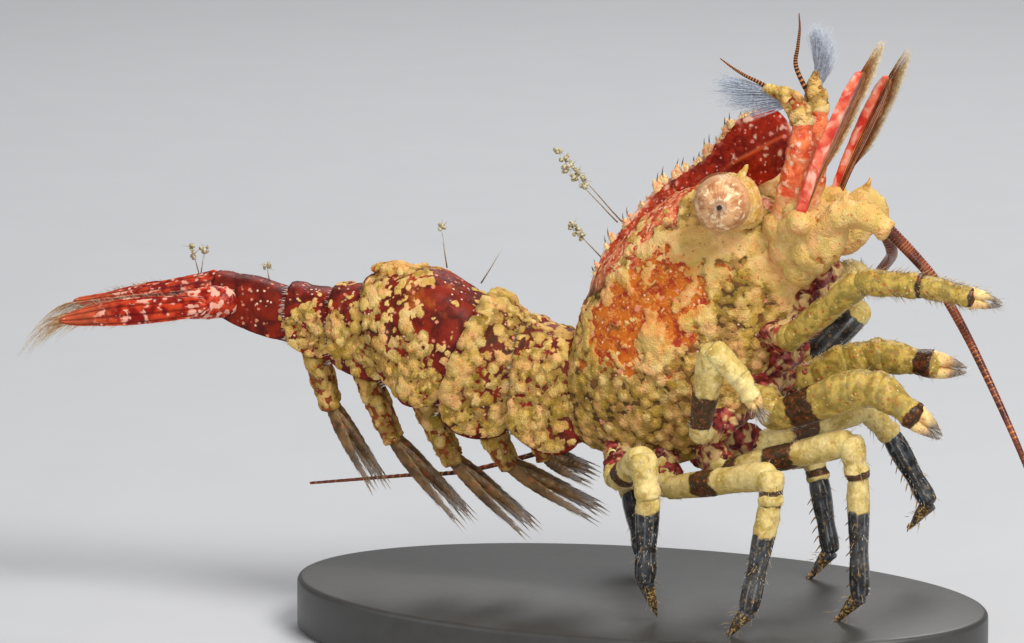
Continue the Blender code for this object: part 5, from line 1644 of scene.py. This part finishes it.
blush = rosy.painted(
    (0.62, 0.070, 0.020),
    (rosy.patches(0.38, 0.62, 0.32, 5.0), (0.88, 0.24, 0.09)),
    ((1 - rosy.mark("clear")) * rosy.patches(0.30, 0.56, 0.5, 4.0) * 0.8, (0.90, 0.52, 0.22)),
    (rosy.patches(0.55, 0.64, 0.26, 5.0) * 0.75, (0.94, 0.58, 0.38)),
    (rosy.frayed("dark", 0.4, 0.6, 0.8, 0.15), (0.72, 0.52, 0.22)),
    (star_spots(rosy, 0.30) * 0.7, (0.88, 0.66, 0.50)),
    # Painted shade, faint, in the creases between the granules.
    (rosy.mark("crease") * 0.15, (0.34, 0.08, 0.02)),
)
rosy.feed(Base_Color=blush, Roughness=0.34 + 0.2 * rosy.mark("dark"))
rosy.bump(1 - rosy.cells(0.06) + rosy.cloud(0.12, 4.0), 0.022, 0.8)
ringed = Finish("ringed_whips", Roughness=0.28, Specular_IOR_Level=0.3)
rings = ringed.wave("along", 210.0)
ring_share = ringed.step(rings + (ringed.cloud(0.3) - 0.5), 0.1, 0.6)
ringed.feed(Base_Color=ringed.mix(ring_share, (0.03, 0.012, 0.008), (0.50, 0.17, 0.04)))
ringed.bump(rings, 0.012, 0.6)
plume_hair = hair_finish("plume_hairs", (0.44, 0.48, 0.56), (0.68, 0.75, 0.86), 0.2)


def branch_relief(place, u, v):
    height, cover, crease, tone = crusted(place, 1.0, 0.3)
    return 0.8 * height, cover, crease, tone + 0.45, 0.3, smooth(patchy(place, 0.35), 0.05, 0.20)


plumes = []
for word, (stem, thick, whip, turn, length, half_spread) in ANTENNULES.items():
    relief = limb_relief(((2.75, 3.1),), ((0.75, 4.0),), 0.0, 1.3)
    skins = limb_skins(points(stem), STEM_JOINT_RADII, relief)
    branch = tube(points(thick), BRANCH_RADII, 44, 100)
    raised(branch, CRUST_MARKS, branch_relief)
    piece(f"antennule_{word}_branch", branch, stem_crust, "pink_limb")
    for side_turn in (-1, 1):
        spine = horn(stem[1], (side_turn * 0.3, 0, 1), 0.45, 0.08, STRAIGHT, 12, 16)
        skins.append(raised(spine, LIMB_MARKS, lambda p, u, v, r=relief: r(p, u, 2.8)))
    piece(f"antennule_{word}_stem", joined(skins), rosy, "pink_limb", f"antennule_{word}")
    flagellum = tube(points(whip), WHIP_RADII, 12, 180)
    piece(f"antennule_{word}_whip", flagellum, ringed, "pink_limb")
    for n in range(PLUME_STRANDS):
        share = n / (PLUME_STRANDS - 1)
        root = on_path(thick, 0.9 + 2.0 * share)
        lean = half_spread * (2 * share - 1) * (-1 if word == "right" else 1)
        angle = math.radians(turn + lean + dice.uniform(-4, 4))
        aim = Vector((math.cos(angle), dice.uniform(-0.16, 0.16), math.sin(angle)))
        reach = length * dice.uniform(0.78, 1.0) * (0.72 + 0.28 * math.sin(math.pi * share))
        curl = Vector((0.10, 0, 0.06)) * dice.uniform(-1, 1)
        plumes.append((root, aim, reach * 0.95, PLUME_STRAND_RADIUS, curl, 0.5, share))
placed("antennule_plumes", strand_mesh("antennule_plumes", plumes, steps=6), plume_hair, "pink_limb")

# The antennal scales: a stout pink-red rib with white patches down one side of each, a thin brown
# half-clear blade beside it, and a fringe of long parallel hairs.

# For each side: the scale's path and the direction of its width.
SCALES = {
    "right": (
        ((5.1, -1.72, 12.75), (5.5, -1.72, 13.9), (6.0, -1.6, 15.15), (6.48, -1.5, 16.3),
         (6.75, -1.45, 16.98)),
        (0.5, 1, 0),
    ),
    "left": (
        ((5.1, 1.75, 12.6), (5.47, 1.75, 13.6), (5.92, 1.7, 14.6), (6.4, 1.65, 15.65),
         (6.68, 1.6, 16.28)),
        (0.9, -0.7, 0),
    ),
}
SCALE_WIDTHS = (0.26, 0.38, 0.48, 0.44, 0.22)


def scale_row(spec, v):
    places, across = spec
    centre = on_path(places, v * 4)
    ahead = (on_path(places, min(v * 4 + 0.1, 4.1)) - centre).normalized()
    across = Vector(across)
    across = (across - ahead * across.dot(ahead)).normalized()
    return centre, across, ahead.cross(across), graded(SCALE_WIDTHS, v), ahead


def scale_skin(spec, rows=110, columns=64):
    row = lru_cache(maxsize=1)(lambda v: scale_row(spec, v))

    def place(u, v):
        centre, across, through, width, ahead = row(v)
        side, face = math.cos(2 * math.pi * u), math.sin(2 * math.pi * u)
        rib = hill(side + 0.55, 0.42)
        close = min(v * 20, (1 - v) * 20, 1) ** 0.5
        depth = (0.035 + 0.20 * rib * (1 - 0.55 * v)) * face
        reach = side * width if side < 0 else side * width * (0.45 + 0.35 * v)
        return centre + (across * reach + through * depth) * close

    def relief(spot, u, v):
        side = math.cos(2 * math.pi * u)
        rib = smooth(-side, -0.06, 0.12)
        pleat = math.sin(side * 30 + 5 * v)
        return 0.016 * pleat * (1 - rib) + 0.02 * patchy(spot, 0.25) * rib, rib, 0.5 + 0.5 * pleat

    return raised(skin(columns, rows, place), ("rib", "pleat"), relief), row


leaf = Finish(
    "antennal_scales", Subsurface_Weight=0.15, Subsurface_Scale=0.0004, Specular_IOR_Level=0.25,
)
leaf_edge = leaf.mark("rib")
ribs = leaf.frayed("pleat", 0.55, 0.95, 0.3, 0.2)
leaf_brown = leaf.painted(
    (0.10, 0.016, 0.008),
    (leaf.patches(0.36, 0.64, 0.35, 4.0), (0.26, 0.050, 0.016)),
    (ribs * 0.85, (0.80, 0.44, 0.15)),
)
leaf_rib = leaf.painted(
    (0.60, 0.034, 0.020),
    (leaf.patches(0.36, 0.64, 0.4), (0.82, 0.19, 0.10)),
    (leaf.patches(0.50, 0.68, 0.40, 4.0, 1.0) * 0.68, (0.90, 0.56, 0.44)),
)
leaf.feed(
    Base_Color=leaf.mix(leaf_edge, leaf_brown, leaf_rib),
    Alpha=0.68 + 0.32 * leaf_edge + 0.25 * ribs,
    Roughness=0.30 + 0.1 * leaf_edge,
)
leaf.bump(leaf.cloud(0.07, 3.0), 0.012, 0.6)
fringe_hair = hair_finish("golden_fringe", (0.28, 0.09, 0.020), (0.80, 0.62, 0.34))
FRINGE_HAIRS = 210
FRINGE_HAIR_RADIUS = 0.012
FRINGE_TOP = 17.95
fringe = []
for word, spec in SCALES.items():
    blade_skin, row = scale_skin(spec)
    piece(f"antennal_scale_{word}_blade", blade_skin, leaf, "pink_limb", f"antennal_scale_{word}")
    for n in range(FRINGE_HAIRS):
        share = (n + dice.random()) / FRINGE_HAIRS
        v = 0.30 + 0.69 * share
        centre, across, through, width, ahead = row(v)
        side = 0.95 if v < 0.93 else dice.uniform(-0.2, 0.95)
        root = centre + across * side * width * (0.42 + 0.35 * v) + through * dice.uniform(-0.02, 0.02)
        aim = ahead + across * (0.40 - 0.24 * share) + through * dice.uniform(-0.05, 0.05)
        reach = min((0.95 + 0.35 * share) * dice.uniform(0.80, 1.0), FRINGE_TOP - root.z)
        fringe.append((root, aim, reach, FRINGE_HAIR_RADIUS, across * 0.05, 0.5 + side * 0.4, v))
placed("scale_fringe", strand_mesh("scale_fringe", fringe, steps=5), fringe_hair, "pink_limb")

# The second feelers: crusted yellow blocks at the face, a peduncle of three swollen segments, and a
# long dark red-brown whip of short rings with orange glints.

# The block's centre, its three radii less the crust's thickness, and its lean in degrees.
BLOCK_CENTRE = (5.72, 1.42, 12.15)
BLOCK_RADII = [0.62 - 0.05, 0.50 - 0.05, 1.05 - 0.05]
BLOCK_LEAN = 24
# Lumps that carry the cheek from the block back to the shell's front edge, round the stem's foot.
CHEEK_LUMPS = (
    (5.2, 1.32, 11.8, 0.5), (5.4, 1.32, 12.45, 0.52), (4.85, 1.2, 12.42, 0.52),
    (4.28, 1.0, 12.4, 0.44), (4.5, 0.98, 11.8, 0.52), (4.78, 1.25, 12.88, 0.34),
    (4.95, 1.1, 11.25, 0.46), (5.12, 1.82, 12.74, 0.36),
)
PEDUNCLE_RADII = (0.40, 0.44, 0.43, 0.34)
FEELER_RADII = (0.19, 0.17, 0.15, 0.13, 0.11, 0.09, 0.07, 0.055, 0.04)
PEDUNCLES = {
    "right": ((5.6, -1.5, 12.5), (6.25, -1.55, 12.98), (6.95, -1.6, 13.02), (7.55, -1.62, 12.62)),
    "left": ((5.6, 1.5, 12.5), (6.0, 1.6, 12.75), (6.25, 1.70, 12.55), (6.45, 1.78, 12.0)),
}
FEELERS = {
    "right": (
        (7.4, -1.6, 12.8), (8.09, -1.45, 12.1), (8.86, -1.42, 11.27), (9.5, -1.5, 10.34),
        (10.3, -1.95, 9.2), (11.48, -2.75, 7.4), (12.31, -3.1, 5.8), (13.1, -3.3, 4.25),
        (13.85, -3.4, 2.95),
    ),
    "left": (
        (6.35, 1.75, 12.15), (6.55, 2.4, 11.3), (6.1, 3.5, 10.6), (4.6, 4.75, 9.1), (1.5, 5.25, 6.6),
        (-2.5, 4.9, 4.9), (-6.0, 3.8, 3.8), (-8.2, 3.25, 3.55), (-10.85, 3.0, 3.2),
    ),
}


def face_relief(place, u, v):
    height, cover, crease, tone = crusted(place, 1.1, 0.80 + 0.9 * patchy(place, 0.9))
    folds = wrinkle(place + Vector((2, 0, 0)), 0.9)
    height = 0.36 * height + 0.040 * patchy(place, 0.8) + 0.016 * folds - 0.01
    # Painted shade: darker patches from a cloud join the crease mark, which the crust finish darkens.
    hollow = smooth(-patchy(place, 0.5), 0.05, 0.20)
    olive = 0.4 * patch(place, 5.7, 11.3, 0.5, 0.6)
    # The tone is raised along the raised folds, a painted highlight.
    return height, cover, max(0.6 * crease, 0.35 * hollow), tone + 0.29 + 0.2 * folds, 0.35, olive


yellow = crust_finish("yellow_crust", (0.36, 0.16, 0.04), (0.60, 0.36, 0.10), 0.30)
amber = Finish(
    "amber_whip", Coat_Weight=0.25, Coat_Roughness=0.08, Specular_IOR_Level=0.3,
    Subsurface_Weight=0.1, Subsurface_Scale=0.0003,
)
segments = amber.wave("along", 620.0)
bead = amber.step(segments + (amber.cloud(0.8) - 0.5), 0.35, 0.85)
amber_tone = amber.painted(
    (0.055, 0.012, 0.007),
    (amber.patches(0.36, 0.62, 0.9), (0.22, 0.05, 0.02)),
    (bead * amber.patches(0.42, 0.60, 0.5) * 0.55, (0.62, 0.20, 0.04)),
)
amber.feed(Base_Color=amber_tone, Roughness=0.24 + bead * 0.15)
amber.bump(segments, 0.016, 0.7)
for word, side in SIDES.items():
    x, y, z = BLOCK_CENTRE
    block = bmesh.new()
    bmesh.ops.create_uvsphere(block, u_segments=96, v_segments=80, radius=1)
    bmesh.ops.scale(block, vec=BLOCK_RADII, verts=block.verts)
    turned = Matrix.Translation((x, side * y, z)) @ Matrix.Rotation(math.radians(BLOCK_LEAN), 4, "Y")
    bmesh.ops.transform(block, matrix=turned, verts=block.verts)
    lumps = [
        globe(Vector((x, side * y, z)), Vector((0, 1, 0)), size, 48, 32) for x, y, z, size in CHEEK_LUMPS
    ]
    joints = points(PEDUNCLES[word])
    segment_skins = limb_skins(joints, PEDUNCLE_RADII, lambda p, u, v: (0, 0, 0, 0, 0), 44, 60)
    spine = horn(joints[1] + Vector((0, 0, 0.3)), (0.5, 0, 1), 0.45, 0.12, STRAIGHT, 16, 20)
    crusty = melded(joined([block, *lumps, *segment_skins, spine]), FINE_VOXEL, 20)
    raised(crusty, CRUST_MARKS, face_relief)
    piece(f"antenna_{word}_base", crusty, yellow, "feeler", f"antenna_{word}")
    feeler = tube(points(FEELERS[word]), FEELER_RADII, 14, 620, ends=0.2)
    piece(f"antenna_{word}_whip", feeler, amber, "feeler")

# Growths on the back: a few long stiff bristles, rooted in the crust, with small clumps of silt and
# weed caught on them.

# Foot, tip, and how many clots hang on each.
BRISTLES = [
    ((-0.55, 0, 12.05), (-2.45, 0.1, 13.86), 5),
    ((-0.65, -0.1, 12.05), (-2.12, -0.2, 13.45), 3),
    ((-1.15, 0, 11.0), (-2.0, 0, 11.80), 3),
    ((-5.72, 0.1, 10.40), (-5.89, 0.1, 11.50), 1),
    ((-4.75, 0.2, 10.00), (-4.12, 0.2, 10.98), 0),
    ((-13.05, 0, 9.65), (-13.30, 0.05, 10.49), 2),
    ((-13.05, 0, 9.65), (-12.90, -0.05, 10.44), 1),
    ((-10.9, -0.2, 9.75), (-10.95, -0.25, 10.15), 1),
]
BRISTLE_RADIUS = 0.022
CLOT_REACH = 0.09
GRAINS_EACH = 8
GRAIN_RADII = (0.035, 0.07)
TWIGS_EACH = 4
TWIG_LENGTHS = (0.15, 0.35)
TWIG_RADIUS = 0.010
stalks, silt = [], []
for start, end, clots in BRISTLES:
    start, end = Vector(start), Vector(end)
    stalks.append((start, end - start, (end - start).length, BRISTLE_RADIUS, (0, 0, 0.05), 0.5, 0.9))
    for k in range(clots):
        spot = start.lerp(end, 0.5 + 0.5 * (k + 1) / clots) + Vector((0, 0, 0.04))
        for n in range(GRAINS_EACH):
            there = Matrix.Translation(spot + any_way(dice) * CLOT_REACH)
            grain = bmesh.new()
            size = dice.uniform(*GRAIN_RADII)
            bmesh.ops.create_icosphere(grain, subdivisions=2, radius=size, matrix=there)
            silt.append(grain)
        for n in range(TWIGS_EACH):
            aim = any_way(dice)
            stalks.append((spot, aim, dice.uniform(*TWIG_LENGTHS), TWIG_RADIUS, STRAIGHT, 0.5, 0.9))
silt_mesh = joined(silt)
silt_mesh.normal_update()
for vert in silt_mesh.verts:
    vert.co += vert.normal * 0.03 * patchy(vert.co, 0.07)
dirt = Finish("caught_silt", Roughness=0.85)
dirt.feed(Base_Color=dirt.mix(dirt.patches(0.38, 0.62, 0.08), (0.24, 0.19, 0.08), (0.60, 0.54, 0.36)))
dirt.bump(dirt.cloud(0.04, 3.0), 0.02, 0.8)
piece("bristle_silt", silt_mesh, dirt, "crust")
bristle = hair_finish("brown_bristles", (0.20, 0.12, 0.06), (0.45, 0.36, 0.22))
placed("back_bristles", strand_mesh("back_bristles", stalks, sides=5, steps=6), bristle, "crust")

# The display base: a flat oval plate of cast resin, satin charcoal with softened edges. The feet
# stand on it.

BASE_HALF = (10.0, 5.5)
BASE_HEIGHT = 1.5
BASE_EDGE = 0.16
plate = bmesh.new()
bmesh.ops.create_cone(plate, cap_ends=True, segments=180, radius1=1, radius2=1, depth=1)
bmesh.ops.scale(plate, vec=(BASE_HALF[0], BASE_HALF[1], BASE_HEIGHT), verts=plate.verts)
bmesh.ops.translate(plate, vec=(0, 0, BASE_HEIGHT / 2), verts=plate.verts)
rims = [e for e in plate.edges if abs(e.verts[0].co.z - e.verts[1].co.z) < 1e-6]
bmesh.ops.bevel(plate, geom=rims, offset=BASE_EDGE, segments=5, profile=0.5, affect="EDGES")
resin = Finish("charcoal_resin", Roughness=0.42, Coat_Weight=0.15, Coat_Roughness=0.3)
resin_grain = resin.cloud(0.5, 6.0)
resin_tone = resin.mix(resin_grain, (0.030, 0.029, 0.028), (0.060, 0.058, 0.055))
resin.feed(Base_Color=resin_tone, Roughness=0.36 + resin_grain * 0.16)
resin.bump(resin.cloud(0.10, 4.0), 0.012, 0.5)
piece("display_base", plate, resin, "stand", "stand_base")
